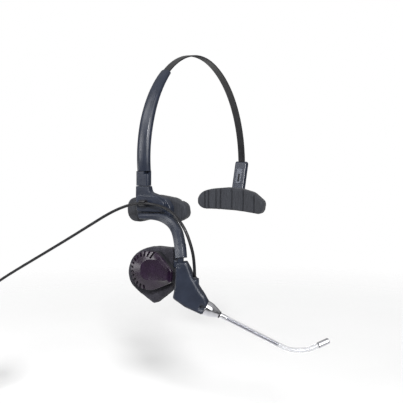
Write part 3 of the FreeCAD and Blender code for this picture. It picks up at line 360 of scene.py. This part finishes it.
def foam_look():
    """Open-cell foam: cells between struts, with painted shade darkening each cell's hollow, dusty and
    without gloss.
    """
    look = Look("foam_open_cell", Roughness=0.95)
    look.shader.inputs["Specular IOR Level"].default_value = 0.12
    look.shader.inputs["Sheen Weight"].default_value = 0.08
    look.shader.inputs["Sheen Roughness"].default_value = 0.5
    pore_depth_and_shade = look.remap(look.cells(2300.0), 0.15, 0.75, 0.0, 1.0)
    tone = look.blend(look.remap(look.grain(240.0, 4.0), 0.3, 0.7, 0.0, 1.0),
                      rgb(0.026, 0.025, 0.033), rgb(0.044, 0.042, 0.054))
    # The cells' hollows blend to near-black: painted shade
    look.link(look.blend(pore_depth_and_shade, rgb(0.010, 0.010, 0.012), tone), look.shader.inputs["Base Color"])
    look.relief(pore_depth_and_shade, 0.9, 0.00018)
    return look.material


def cap_look():
    """Dark tinted plastic with a clear gloss over it."""
    look = Look("cap_tinted", IOR=1.52)
    look.shader.inputs["Coat Weight"].default_value = 0.2
    look.shader.inputs["Coat Roughness"].default_value = 0.12
    look.shader.inputs["Specular IOR Level"].default_value = 0.4
    rounded = look.soft_edges(0.0002)
    look.relief(look.grain(1400.0, 3.0), 0.15, 0.00001, rounded)
    base = look.blend(look.remap(look.grain(210.0, 4.0), 0.3, 0.7, 0.0, 1.0),
                      rgb(0.008, 0.0032, 0.010), rgb(0.014, 0.006, 0.018))
    edged = look.blend(look.worn_edges(rounded), base, rgb(0.024, 0.014, 0.030))
    look.link(edged, look.shader.inputs["Base Color"])
    look.gloss(look.grain(800.0, 4.0), 0.24, 0.34)
    return look.material


def clear_look():
    look = Look("tube_clear", IOR=1.46)
    look.shader.inputs["Transmission Weight"].default_value = 1.0
    look.vary("Base Color", look.grain(500.0, 3.0), rgb(0.93, 0.94, 0.96), rgb(0.98, 0.98, 1.0))
    look.gloss(look.grain(700.0, 3.0), 0.02, 0.06)
    look.relief(look.grain(900.0, 2.0), 0.15, 0.00002)
    return look.material


def board_look():
    look = Look("board_lacquer")
    look.vary("Base Color", look.cells(2600.0, (1.0, 1.0, 3.0), "DISTANCE_TO_EDGE"),
              rgb(0.20, 0.34, 0.12), rgb(0.010, 0.09, 0.030))
    look.gloss(look.grain(900.0), 0.25, 0.4)
    look.relief(look.grain(2600.0), 0.4, 0.00003)
    return look.material


def make_looks():
    shell = plastic("shell_charcoal", rgb(0.010, 0.013, 0.022), rgb(0.016, 0.020, 0.033), 0.31,
                    rgb(0.045, 0.052, 0.072))
    dark = plastic("plastic_black", rgb(0.008, 0.008, 0.010), rgb(0.013, 0.013, 0.016), 0.46,
                   rgb(0.035, 0.036, 0.042))
    pads = rubber("pad_rubber_matte", rgb(0.010, 0.011, 0.015), rgb(0.020, 0.022, 0.028), 0.74,
                  0.00010, 1500.0, (1.0, 1.6, 0.22))
    coated = plastic("band_coating", rgb(0.005, 0.005, 0.006), rgb(0.010, 0.010, 0.012), 0.30,
                     rgb(0.16, 0.16, 0.17))
    return {
        "shell_plastic": shell,
        "dark_plastic": dark,
        "pad_rubber": pads,
        "coated_steel": coated,
        "bare_steel": metal("steel_bare", rgb(0.17, 0.17, 0.19), rgb(0.27, 0.27, 0.30), 0.24,
                            (1.0, 1.0, 4.0)),
        "cap_plastic": cap_look(),
        "foam": foam_look(),
        "chrome": metal("chrome_polished", rgb(0.58, 0.58, 0.61), rgb(0.70, 0.70, 0.73), 0.10),
        "clear_plastic": clear_look(),
        "board": board_look(),
        "cord_jacket": plastic("cord_jacket_satin", rgb(0.003, 0.003, 0.004), rgb(0.007, 0.007, 0.009), 0.36,
                               rgb(0.02, 0.02, 0.022), 0.00002, 0.3),
        "boom_plastic": plastic("boom_charcoal", rgb(0.010, 0.013, 0.022), rgb(0.015, 0.019, 0.031), 0.31,
                                rgb(0.020, 0.025, 0.038), soft=0.0017),
        # A lighter copy of the shell plastic for the stem's rib: painted highlight
        "rib_painted_highlight": plastic("rib_satin_painted_highlight", rgb(0.050, 0.056, 0.072), rgb(0.066, 0.073, 0.092), 0.30,
                               rgb(0.09, 0.10, 0.12)),
        "strap": rubber("strap_woven", rgb(0.010, 0.010, 0.012), rgb(0.030, 0.030, 0.034), 0.85,
                        0.00012, 2400.0, (1.0, 1.0, 0.5)),
        # Near-black: the vent ring and driver, and the painted shade block in the rib's slot
        "near_black_and_slot_shade": rubber("near_black_matte_and_slot_shade", rgb(0.002, 0.002, 0.003), rgb(0.005, 0.005, 0.006), 0.9,
                            0.00004, 3000.0),
        "film": plastic("film_cream", rgb(0.5, 0.48, 0.42), rgb(0.66, 0.64, 0.56), 0.4, rgb(0.7, 0.7, 0.6)),
        "contact_metal": metal("contact_gold", rgb(0.62, 0.42, 0.14), rgb(0.86, 0.66, 0.28), 0.22),
    }


# ---------------------------------------------------------------- helpers for pieces

def copy_of(node, name):
    """A new object with a cleaned copy of a CAD node's mesh."""
    mesh = NODES[node].data.copy()
    mesh.name = name
    mesh.materials.clear()
    bm = bmesh.new()
    bm.from_mesh(mesh)
    bmesh.ops.remove_doubles(bm, verts=bm.verts, dist=1e-6)
    bm.to_mesh(mesh)
    bm.free()
    piece = bpy.data.objects.new(name, mesh)
    scene.collection.objects.link(piece)
    return piece


def settle(piece):
    """Apply every modifier of a piece."""
    bpy.context.view_layer.update()
    graph = bpy.context.evaluated_depsgraph_get()
    mesh = bpy.data.meshes.new_from_object(piece.evaluated_get(graph))
    old = piece.data
    piece.modifiers.clear()
    piece.data = mesh
    mesh.name = old.name
    bpy.data.meshes.remove(old)


def remesh(piece, voxel):
    made = piece.modifiers.new("remesh", "REMESH")
    made.mode = "VOXEL"
    made.voxel_size = voxel
    settle(piece)


def smooth(piece, share, times):
    made = piece.modifiers.new("smooth", "SMOOTH")
    made.factor = share
    made.iterations = times
    settle(piece)


def subdivide(piece):
    made = piece.modifiers.new("subdivision", "SUBSURF")
    made.levels = made.render_levels = 1
    settle(piece)


def points_of(piece):
    co = np.zeros(len(piece.data.vertices) * 3)
    piece.data.vertices.foreach_get("co", co)
    return co.reshape(-1, 3)


def directions_of(piece):
    found = np.zeros(len(piece.data.vertices) * 3)
    piece.data.vertices.foreach_get("normal", found)
    return found.reshape(-1, 3)


def move_to(piece, points):
    piece.data.vertices.foreach_set("co", points.reshape(-1))
    piece.data.update()


def dress(piece, look, slot, body, *nodes):
    piece.data.materials.clear()
    piece.data.materials.append(look)
    if piece.type == "MESH":
        piece.data.shade_smooth()
    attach(piece, body)
    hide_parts(*nodes)


def lumps(points, scale, seed):
    """Smooth noise at each point, from -1 to 1."""
    shift = Vector((seed, seed * 0.37, -seed))
    return np.array([noise.noise(Vector(point) * scale + shift) for point in points])


# ---------------------------------------------------------------- foam cushion

CUSHION_VOXEL = 0.00075
SWELL_SCALE, SWELL_FRAMES, SWELL_PRESSURE = 10.0, 20, 4.0
SWELL_CAP, SWELL_HELD = 0.0011, 0.0016
# Features per metre and height of the foam's fine and coarse dimples
FINE_DIMPLES, COARSE_DIMPLES = (1500.0, 0.00007), (420.0, 0.00010)
CUSHION_SPARE = 0.0004


def swell(piece, held):
    """Inflate a piece as enlarged cloth; points move at most SWELL_CAP, and held ones stay."""
    before = points_of(piece)
    move_to(piece, before * SWELL_SCALE)
    cloth = piece.modifiers.new("cloth", "CLOTH")
    cloth.settings.use_pressure = True
    cloth.settings.uniform_pressure_force = SWELL_PRESSURE
    cloth.settings.effector_weights.gravity = 0.0
    cloth.settings.quality = 5
    for number in range(1, SWELL_FRAMES + 1):
        scene.frame_set(number)
    settle(piece)
    scene.frame_set(1)
    step = points_of(piece) / SWELL_SCALE - before
    length = np.linalg.norm(step, axis=1, keepdims=True)
    step *= np.minimum(1.0, SWELL_CAP / np.maximum(length, 1e-9))
    step *= (1.0 - held(before))[:, None]
    move_to(piece, before + step)


def make_cushion(looks):
    """Foam cover over the receiver: swollen face, thin rim, open cells."""
    piece = copy_of("ear_cushion", "foam_cushion")
    remesh(piece, CUSHION_VOXEL)
    low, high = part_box("ear_cushion")
    swell(piece, lambda points: np.clip((low.x + SWELL_HELD - points[:, 0]) / SWELL_HELD, 0, 1))
    smooth(piece, 0.5, 3)
    subdivide(piece)
    points = points_of(piece)
    away = directions_of(piece)
    dimples = (lumps(points, FINE_DIMPLES[0], 3.0) * FINE_DIMPLES[1]
               + lumps(points, COARSE_DIMPLES[0], 9.0) * COARSE_DIMPLES[1])
    points += away * dimples[:, None]
    points[:, 0] = np.clip(points[:, 0], low.x, high.x + CUSHION_SPARE)
    move_to(piece, points)
    dress(piece, looks["foam"], "foam", "receiver", "ear_cushion")


# ---------------------------------------------------------------- receiver cap

# Millimetres; (y, z, radius) corners of the rim and of the flat panel
CAP_RIM = [(11.5, 12.5, 11.3), (11.5, -11.5, 11.3), (-4.4, -11.7, 7.0), (-17.4, -6.0, 2.2),
           (-17.9, 1.4, 2.2), (-7.0, 12.5, 5.0)]
CAP_PANEL = [(2.9, 7.8, 6.2), (2.9, -5.6, 4.6), (-5.0, -4.7, 9.0), (-16.3, -4.4, 1.6),
             (-16.9, 2.4, 3.2), (-10.4, 8.3, 5.0)]
CAP_CENTRE = (-5.2, 0.8)
CAP_BACK, CAP_STEP, CAP_FACE = -14.0, -16.2, -18.9
CAP_WALL, CAP_LEDGE, CAP_SHOULDER = 1.1, 0.9, 0.4
CAP_DISH, CAP_BULGE, CAP_EDGE, CAP_EASE = 0.34, 0.10, 0.28, 0.05
CAP_SPOKES, RIM_SOFTEN, PANEL_SOFTEN = 480, 40, 60
CORNER_STEPS, SIDE_STEPS = 12, 8
VENTS, VENT_FIRST, VENT_LAST = 14, 64.0, 262.0
VENT_SIZE, VENT_SHIFT, VENT_CENTRE_Z = (5.2, 5.0, 1.4), (-17.5, 11.6, 0.0), 0.5


def rounded(corners):
    """Points along a polygon whose (y, z, radius) corners are rounded."""
    found = []
    for index, (y, z, radius) in enumerate(corners):
        here = Vector((y, z))
        back = (Vector(corners[index - 1][:2]) - here).normalized()
        ahead = (Vector(corners[(index + 1) % len(corners)][:2]) - here).normalized()
        half = back.angle(ahead) / 2
        middle = here + (back + ahead).normalized() * (radius / math.sin(half))
        start = here + back * (radius / math.tan(half)) - middle
        finish = here + ahead * (radius / math.tan(half)) - middle
        for step in range(CORNER_STEPS + 1):
            found.append(middle + start.slerp(finish, step / CORNER_STEPS).normalized() * radius)
    return found


def reach_of(corners, angles, soften):
    """Distance from the cap's centre to a rounded outline at each angle, with its corners eased."""
    points = rounded(corners)
    dense = []
    for first, second in zip(points, points[1:] + points[:1]):
        dense += [first.lerp(second, step / SIDE_STEPS) for step in range(SIDE_STEPS)]
    turn = np.array([math.atan2(p.y - CAP_CENTRE[1], p.x - CAP_CENTRE[0]) for p in dense])
    far = np.array([math.hypot(p.x - CAP_CENTRE[0], p.y - CAP_CENTRE[1]) for p in dense])
    order = np.argsort(turn)
    reach = np.interp(angles, turn[order], far[order], period=2 * math.pi)
    for _ in range(soften):
        reach = (np.roll(reach, 1) + reach * 2 + np.roll(reach, -1)) / 4
    return reach


def cap_skin(wall):
    """Rings of points over the cap, from the panel's middle to the back of the rim, a wall deep."""
    angles = np.linspace(-math.pi, math.pi, CAP_SPOKES, endpoint=False)
    rim = reach_of(CAP_RIM, angles, RIM_SOFTEN) - wall
    panel = np.minimum(reach_of(CAP_PANEL, angles, PANEL_SOFTEN), rim - CAP_LEDGE) - wall * 0.4
    face, step = CAP_FACE + wall, CAP_STEP + wall
    rings = []
    for share in (0.02, 0.2, 0.4, 0.6, 0.78, 0.88, 0.94):
        rings.append((panel * share, face + CAP_DISH * (1 - share ** 2)))
    rings.append((panel * 0.98, face + 0.01))
    rings.append((panel, face + CAP_EASE))
    for share in np.linspace(0.04, 0.96, 16):
        slope = face + CAP_EASE + (step - face - CAP_EASE) * share - CAP_BULGE * math.sin(share * math.pi)
        rings.append((panel + (rim - CAP_EDGE - panel) * share, slope))
    for share in (0.0, 0.25, 0.5, 0.75, 1.0):
        bend = share * math.pi / 2
        rings.append((rim - CAP_EDGE * (1 - math.sin(bend)), step + CAP_SHOULDER * (1 - math.cos(bend))))
    rings.append((rim, CAP_BACK))
    made = []
    for reach, x in rings:
        across = CAP_CENTRE[0] + reach * np.cos(angles)
        up = CAP_CENTRE[1] + reach * np.sin(angles)
        made.append([Vector((x, y, z)) * MM for y, z in zip(across, up)])
    return made


def make_cap(looks):
    """Tinted cap: a rim with open vents, an eased slope and a dished panel."""
    bm = bmesh.new()
    sides = []
    for wall in (0.0, CAP_WALL):
        rings = [[bm.verts.new(point) for point in ring] for ring in cap_skin(wall)]
        middle = bm.verts.new(sum((v.co for v in rings[0]), Vector()) / CAP_SPOKES)
        for k in range(CAP_SPOKES):
            bm.faces.new((middle, rings[0][k], rings[0][(k + 1) % CAP_SPOKES]))
        for first, second in zip(rings, rings[1:]):
            for k in range(CAP_SPOKES):
                after = (k + 1) % CAP_SPOKES
                bm.faces.new((first[k], second[k], second[after], first[after]))
        sides.append(rings[-1])
    for k in range(CAP_SPOKES):
        after = (k + 1) % CAP_SPOKES
        bm.faces.new((sides[0][k], sides[0][after], sides[1][after], sides[1][k]))
    bmesh.ops.recalc_face_normals(bm, faces=bm.faces)
    piece = object_from(bm, "tinted_cap")
    cut_vents(piece)
    piece.data.shade_smooth()
    piece.data.set_sharp_from_angle(angle=math.radians(38))
    dress(piece, looks["cap_plastic"], "cap_plastic", "receiver", "receiver_cap")


def cut_vents(piece):
    """Slots round the rim, open to the outside."""
    bm = bmesh.new()
    slot = Matrix.Translation(VENT_SHIFT) @ Matrix.Diagonal((*VENT_SIZE, 1.0))
    centre = Matrix.Scale(MM, 4) @ Matrix.Translation((0.0, 0.0, VENT_CENTRE_Z))
    for index in range(VENTS):
        degrees = VENT_FIRST + (VENT_LAST - VENT_FIRST) * index / (VENTS - 1)
        turn = Matrix.Rotation(math.radians(180 - degrees), 4, "X")
        bmesh.ops.create_cube(bm, size=1.0, matrix=centre @ turn @ slot)
    cutter = object_from(bm, "vents")
    mesh = cutter.data
    made = piece.modifiers.new("vents", "BOOLEAN")
    made.operation, made.solver, made.object = "DIFFERENCE", "EXACT", cutter
    settle(piece)
    bpy.data.objects.remove(cutter)
    bpy.data.meshes.remove(mesh)


# ---------------------------------------------------------------- headband sleeve

# Millimetres and degrees, on the circle that the band follows
ARCH_Y, ARCH_X, ARCH_Z, ARCH_R = 12.0, 69.6, 69.3, 69.4
SLEEVE_TOP, SLEEVE_END, SLEEVE_STEPS = 125.4, 186.2, 96
# Half width and height at the tip, and where the taper has run out
TIP_SIZE, FULL_SIZE = (3.6, 1.9), (4.6, 2.1)
TAPER_SPAN, TAPER_CURVE = 34.0, 0.7
SLOT_HALF, SLOT_DEEP = 3.1, 0.8
SLOT = [(SLOT_HALF, -SLOT_DEEP), (SLOT_HALF, SLOT_DEEP), (-SLOT_HALF, SLOT_DEEP), (-SLOT_HALF, -SLOT_DEEP)]
CROWN_POINTS, CROWN_SQUARE, SKIN_FOOT = 36, 2.6, -0.4
RIDGE_AT, RIDGE_HALF, RIDGE_RISE = -0.66, 0.11, 0.09


def crown_points():
    """Half section of the sleeve's skin: (share of the half width, share of the height)."""
    points = []
    for k in range(CROWN_POINTS + 1):
        angle = math.pi * (1 - k / CROWN_POINTS)
        y = math.copysign(abs(math.cos(angle)) ** (2 / CROWN_SQUARE), math.cos(angle))
        rise = abs(math.sin(angle)) ** (2 / CROWN_SQUARE)
        ridge = RIDGE_RISE * math.exp(-((y - RIDGE_AT) / RIDGE_HALF) ** 2)
        points.append((y, SKIN_FOOT + (1 - SKIN_FOOT - RIDGE_RISE) * rise + ridge))
    return points


def sleeve_ring(degrees, corners):
    """Points of the arch at an angle; each corner is (y, distance out from the band's circle)."""
    angle = math.radians(degrees)
    return [Vector((ARCH_X + (ARCH_R + out) * math.cos(angle), ARCH_Y + y,
                    ARCH_Z + (ARCH_R + out) * math.sin(angle))) * MM for y, out in corners]


def make_sleeve(looks):
    """Outer half of the sleeve: a crowned face with a ridge along its front edge, over the band's slot."""
    bm = bmesh.new()
    rings = []
    crown = crown_points()
    for step in range(SLEEVE_STEPS + 1):
        degrees = SLEEVE_TOP + (SLEEVE_END - SLEEVE_TOP) * step / SLEEVE_STEPS
        share = min((degrees - SLEEVE_TOP) / TAPER_SPAN, 1.0) ** TAPER_CURVE
        half, out = (tip + (full - tip) * share for tip, full in zip(TIP_SIZE, FULL_SIZE))
        rise = (out + SLOT_DEEP) / (1 - SKIN_FOOT)
        skin = [(y * half, (v - SKIN_FOOT) * rise - SLOT_DEEP) for y, v in crown]
        rings.append([bm.verts.new(point) for point in sleeve_ring(degrees, skin + SLOT)])
    close_rings(bm, rings)
    piece = object_from(bm, "sleeve_crown")
    dress(piece, looks["shell_plastic"], "shell_plastic", "headband", "sleeve_outer")
    piece.data.set_sharp_from_angle(angle=math.radians(60))


# ---------------------------------------------------------------- stem rib

RIB_FACE = Vector((0.14112, 0.0120, 0.05106))
RIB_DOWN = Vector((-0.3041, 0.0, -0.9526))
RIB_OUT = Vector((-0.9526, 0.0, 0.3041))
# Place, size and rounding of a near-black block in the rib's slot: painted shade where the slot lies in
# shadow
RIB_SLOT_SHIFT, RIB_SLOT_SIZE, RIB_SLOT_SUNK = 0.0014, (0.0059, 0.0014, 0.0009), 0.0003
RIB_SLOT_ROUND = 0.00012


def make_rib(looks):
    """The rib let into the far stem, in a lighter copy of the shell plastic as its painted highlight, and a
    near-black block in its upright slot as painted shade.
    """
    rib = copy_of("stem_insert", "stem_rib")
    # The rib takes the lighter copy of the shell plastic: painted highlight
    dress(rib, looks["rib_painted_highlight"], "shell_plastic", "far_rest", "stem_insert")
    rib.data.set_sharp_from_angle(angle=math.radians(30))
    down, out = RIB_DOWN.normalized(), RIB_OUT.normalized()
    long, wide, deep = RIB_SLOT_SIZE
    centre = RIB_FACE + down * RIB_SLOT_SHIFT - out * (RIB_SLOT_SUNK + deep / 2)
    axes = Matrix((down, out.cross(down), out)).transposed().to_4x4()
    size = Matrix.Diagonal((long, wide, deep, 1.0))
    bm = bmesh.new()
    bmesh.ops.create_cube(bm, matrix=Matrix.Translation(centre) @ axes @ size)
    bmesh.ops.bevel(bm, geom=bm.edges, offset=RIB_SLOT_ROUND, segments=2, affect="EDGES")
    shade_block = object_from(bm, "rib_slot_painted_shade")
    # The near-black block in the slot is painted shade, not a part of the stem
    dress(shade_block, looks["near_black_and_slot_shade"], "dark_plastic", "far_rest", "stem_insert")


# ---------------------------------------------------------------- rubber pads

PAD_VOXEL = 0.00034
PILLOW_RISE, PILLOW_SQUARE = 0.00028, 0.6
RIB_PITCH, RIB_RISE, RIB_WANDER = 0.0011, 0.000045, 0.9
PAD_GRAIN, PAD_GRAIN_RISE = 900.0, 0.00003
GROOVE_HALF, GROOVE_DEPTH = 0.00055, 0.0011
TAPER_POWER = 1.6
# Length of a pad's tapered back end, and how far its top comes down there
NEAR_TAPER, FAR_TAPER = (0.010, 0.0), (0.012, 0.0026)
NEAR_GROOVES = [-0.0105, -0.005, 0.005, 0.0155, 0.0215]
FAR_GROOVES = [-0.0086, 0.0018, 0.0118, 0.0213, 0.0250, 0.0308, 0.0336]


def make_pad(node, name, grooves, face, looks, body, taper):
    """A rubber pad: pillowed panels between its upright grooves, and fine upright ribs."""
    piece = copy_of(node, name)
    remesh(piece, PAD_VOXEL)
    smooth(piece, 0.5, 3)
    low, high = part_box(node)
    points = points_of(piece)
    away = directions_of(piece)
    edges = np.array([low.y] + grooves + [high.y])
    panel = np.clip(np.searchsorted(edges, points[:, 1]) - 1, 0, len(edges) - 2)
    width = edges[panel + 1] - edges[panel]
    share = np.clip((points[:, 1] - edges[panel]) / width, 0, 1)
    inner = np.clip(away[:, 0] * face, 0, 1)
    pillow = np.sin(share * np.pi) ** PILLOW_SQUARE * PILLOW_RISE * inner
    ribs = np.sin(points[:, 1] * 2 * np.pi / RIB_PITCH + lumps(points, 60.0, 2.0) * RIB_WANDER) * RIB_RISE
    valley = np.exp(-(np.abs(points[:, 1:2] - np.array(grooves)).min(axis=1) / GROOVE_HALF) ** 4)
    points += away * (pillow + ribs + lumps(points, PAD_GRAIN, 5.0) * PAD_GRAIN_RISE)[:, None]
    points[:, 0] -= face * valley * inner * GROOVE_DEPTH
    reach, drop = taper
    ending = np.clip((points[:, 1] - (high.y - reach)) / reach, 0, 1)
    points[:, 2] -= ending ** TAPER_POWER * drop * (points[:, 2] - low.z) / (high.z - low.z)
    move_to(piece, points)
    dress(piece, looks["pad_rubber"], "pad_rubber", body, node)


# ---------------------------------------------------------------- cord

CORD_D = 0.002
ROUTE_MM = [
    (-12.0, -32.1, -1.5), (-13.2, -32.5, 7.2), (-15.0, -31.9, 16.0), (-16.2, -28.0, 27.8),
    (-14.6, -20.2, 35.8), (-11.4, -11.8, 39.6), (-8.2, -2.4, 41.3), (-6.8, 8.2, 41.8),
    (-7.2, 18.4, 40.2), (-8.8, 30.6, 35.2), (-10.6, 45.0, 26.6), (-12.0, 63.0, 16.0),
    (-11.4, 85.0, 4.0), (-12.0, 106.0, -7.6), (-12.0, 121.3, -16.4), (-12.4, 133.4, -24.6),
    (-13.4, 143.6, -33.4), (-14.6, 150.6, -44.0), (-15.0, 152.6, -53.0),
]
TAIL_MM = [(-9.6, 151.2, -68.0), (-10.6, 146.0, -74.2), (-11.8, 141.2, -78.4), (-12.0, 140.2, -84.0)]
COIL_CENTRE = Vector((-0.012, 0.140, -0.058))
COIL_LAYERS = [0.0090, 0.0111, 0.0132]
LAYER_TURNS, TURN_POINTS = 3, 16
COIL_PITCH = 0.00215
COIL_LOOSE, LOOSE_RATE = 0.00018, 2.3
TUBE_SIDES = 16
VALLEY_DEPTH, VALLEY_POWER = 0.13, 6


def coil_points():
    """Control points of the put-away turns: three layers of three turns, wound to and fro."""
    points = []
    for index in range(len(COIL_LAYERS) * LAYER_TURNS * TURN_POINTS + 1):
        turn = index / TURN_POINTS
        layer = min(int(turn / LAYER_TURNS), len(COIL_LAYERS) - 1)
        along = turn - layer * LAYER_TURNS
        side = along - LAYER_TURNS / 2
        if layer % 2:
            side = -side
        angle = -2 * math.pi * turn
        radius = COIL_LAYERS[layer] + COIL_LOOSE * math.sin(turn * LOOSE_RATE)
        turned = Vector((side * COIL_PITCH, radius * math.cos(angle), radius * math.sin(angle)))
        points.append(COIL_CENTRE + turned)
    return points


def cord_line():
    """The cord's centreline, read from its own NURBS spline."""
    route, tail = ([Vector(point) * MM for point in points] for points in (ROUTE_MM, TAIL_MM))
    controls = route + coil_points() + tail
    curve = bpy.data.curves.new("cord_route", "CURVE")
    curve.dimensions = "3D"
    spline = curve.splines.new("NURBS")
    spline.points.add(len(controls) - 1)
    for made, point in zip(spline.points, controls):
        made.co = (*point, 1.0)
    spline.order_u = 3
    spline.use_endpoint_u = True
    spline.resolution_u = 8
    holder = bpy.data.objects.new("cord_route", curve)
    scene.collection.objects.link(holder)
    bpy.context.view_layer.update()
    mesh = bpy.data.meshes.new_from_object(holder)
    line = [vertex.co.copy() for vertex in mesh.vertices]
    bpy.data.meshes.remove(mesh)
    bpy.data.objects.remove(holder)
    bpy.data.curves.remove(curve)
    return line


def tube_mesh(name, line, section):
    """A closed tube along a line, with the outline section(angle) turned along without twist."""
    angles = [2 * math.pi * step / TUBE_SIDES for step in range(TUBE_SIDES)]
    bm = bmesh.new()
    across = Vector((1.0, 0.0, 0.0))
    rings = []
    for index, point in enumerate(line):
        before, after = line[max(index - 1, 0)], line[min(index + 1, len(line) - 1)]
        along = (after - before).normalized()
        across = (across - along * across.dot(along)).normalized()
        other = along.cross(across)
        rings.append([bm.verts.new(point + (across * math.cos(a) + other * math.sin(a)) * section(a))
                      for a in angles])
    close_rings(bm, rings)
    return object_from(bm, name)


def twin_lead(angle):
    """Half the cord's width towards an angle: a fine valley along both flat sides."""
    return CORD_D / 2 * (1.0 - VALLEY_DEPTH * abs(math.sin(angle)) ** VALLEY_POWER)


def make_cord(looks):
    line = cord_line()
    piece = tube_mesh("headset_cord", line, twin_lead)
    piece.data.materials.append(looks["cord_jacket"])
    piece.data.shade_smooth()
    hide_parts("cord_tube", "cord_coil", "cord_tail")
    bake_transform(piece)


# ---------------------------------------------------------------- strap round the coil

STRAP_HALF_X, STRAP_HALF_Y, STRAP_AT = 0.00445, 0.00345, Vector((-0.012, 0.15115, -0.058))
STRAP_WIDTH, STRAP_THICK, STRAP_GAP = 0.0046, 0.0005, 0.0001
STRAP_TURNS, STRAP_STEPS, STRAP_START, STRAP_SQUARE = 1.22, 110, 2.2, 0.55


def squared(value):
    return math.copysign(abs(value) ** STRAP_SQUARE, value)


def strap_point(turn, out, along):
    """A point of the strap's spiral: a squared-off loop that climbs over its own start."""
    angle = 2 * math.pi * turn - STRAP_START
    grow = out + turn * (STRAP_THICK + STRAP_GAP)
    x = squared(math.cos(angle)) * (STRAP_HALF_X + grow)
    y = squared(math.sin(angle)) * (STRAP_HALF_Y + grow)
    return STRAP_AT + Vector((x, y, along))


def make_strap(looks):
    """Woven strap that holds the put-away turns together."""
    bm = bmesh.new()
    half = STRAP_WIDTH / 2
    rings = []
    for step in range(STRAP_STEPS + 1):
        turn = STRAP_TURNS * step / STRAP_STEPS
        corners = ((0.0, -half), (STRAP_THICK, -half), (STRAP_THICK, half), (0.0, half))
        rings.append([bm.verts.new(strap_point(turn, out, along)) for out, along in corners])
    close_rings(bm, rings)
    piece = object_from(bm, "coil_strap")
    dress(piece, looks["strap"], "cord_jacket", "headband", "coil_tie")
    piece.data.set_sharp_from_angle(angle=math.radians(50))


# ---------------------------------------------------------------- everything together

OWN_LOOKS = {"vent_ring": "near_black_and_slot_shade", "speaker_driver": "near_black_and_slot_shade",
             "boom_outer_shell": "boom_plastic", "boom_inner_shell": "boom_plastic"}


def dress_nodes(looks):
    """Every CAD node keeps its shape and gets the look of its material slot."""
    for name, node in NODES.items():
        slot = OWN_LOOKS.get(name, node.material_slots[0].material.name)
        node.material_slots[0].material = looks[slot]


make_camera()
make_world()
make_lights()
make_floor()
looks = make_looks()
dress_nodes(looks)
make_strap(looks)
make_cord(looks)
make_cap(looks)
make_sleeve(looks)
make_rib(looks)
make_cushion(looks)
make_pad("temple_pad", "rubber_temple_pad", NEAR_GROOVES, 1.0, looks, "headband", NEAR_TAPER)
make_pad("far_pad", "rubber_far_pad", FAR_GROOVES, -1.0, looks, "far_rest", FAR_TAPER)
scene.view_settings.view_transform = "Standard"
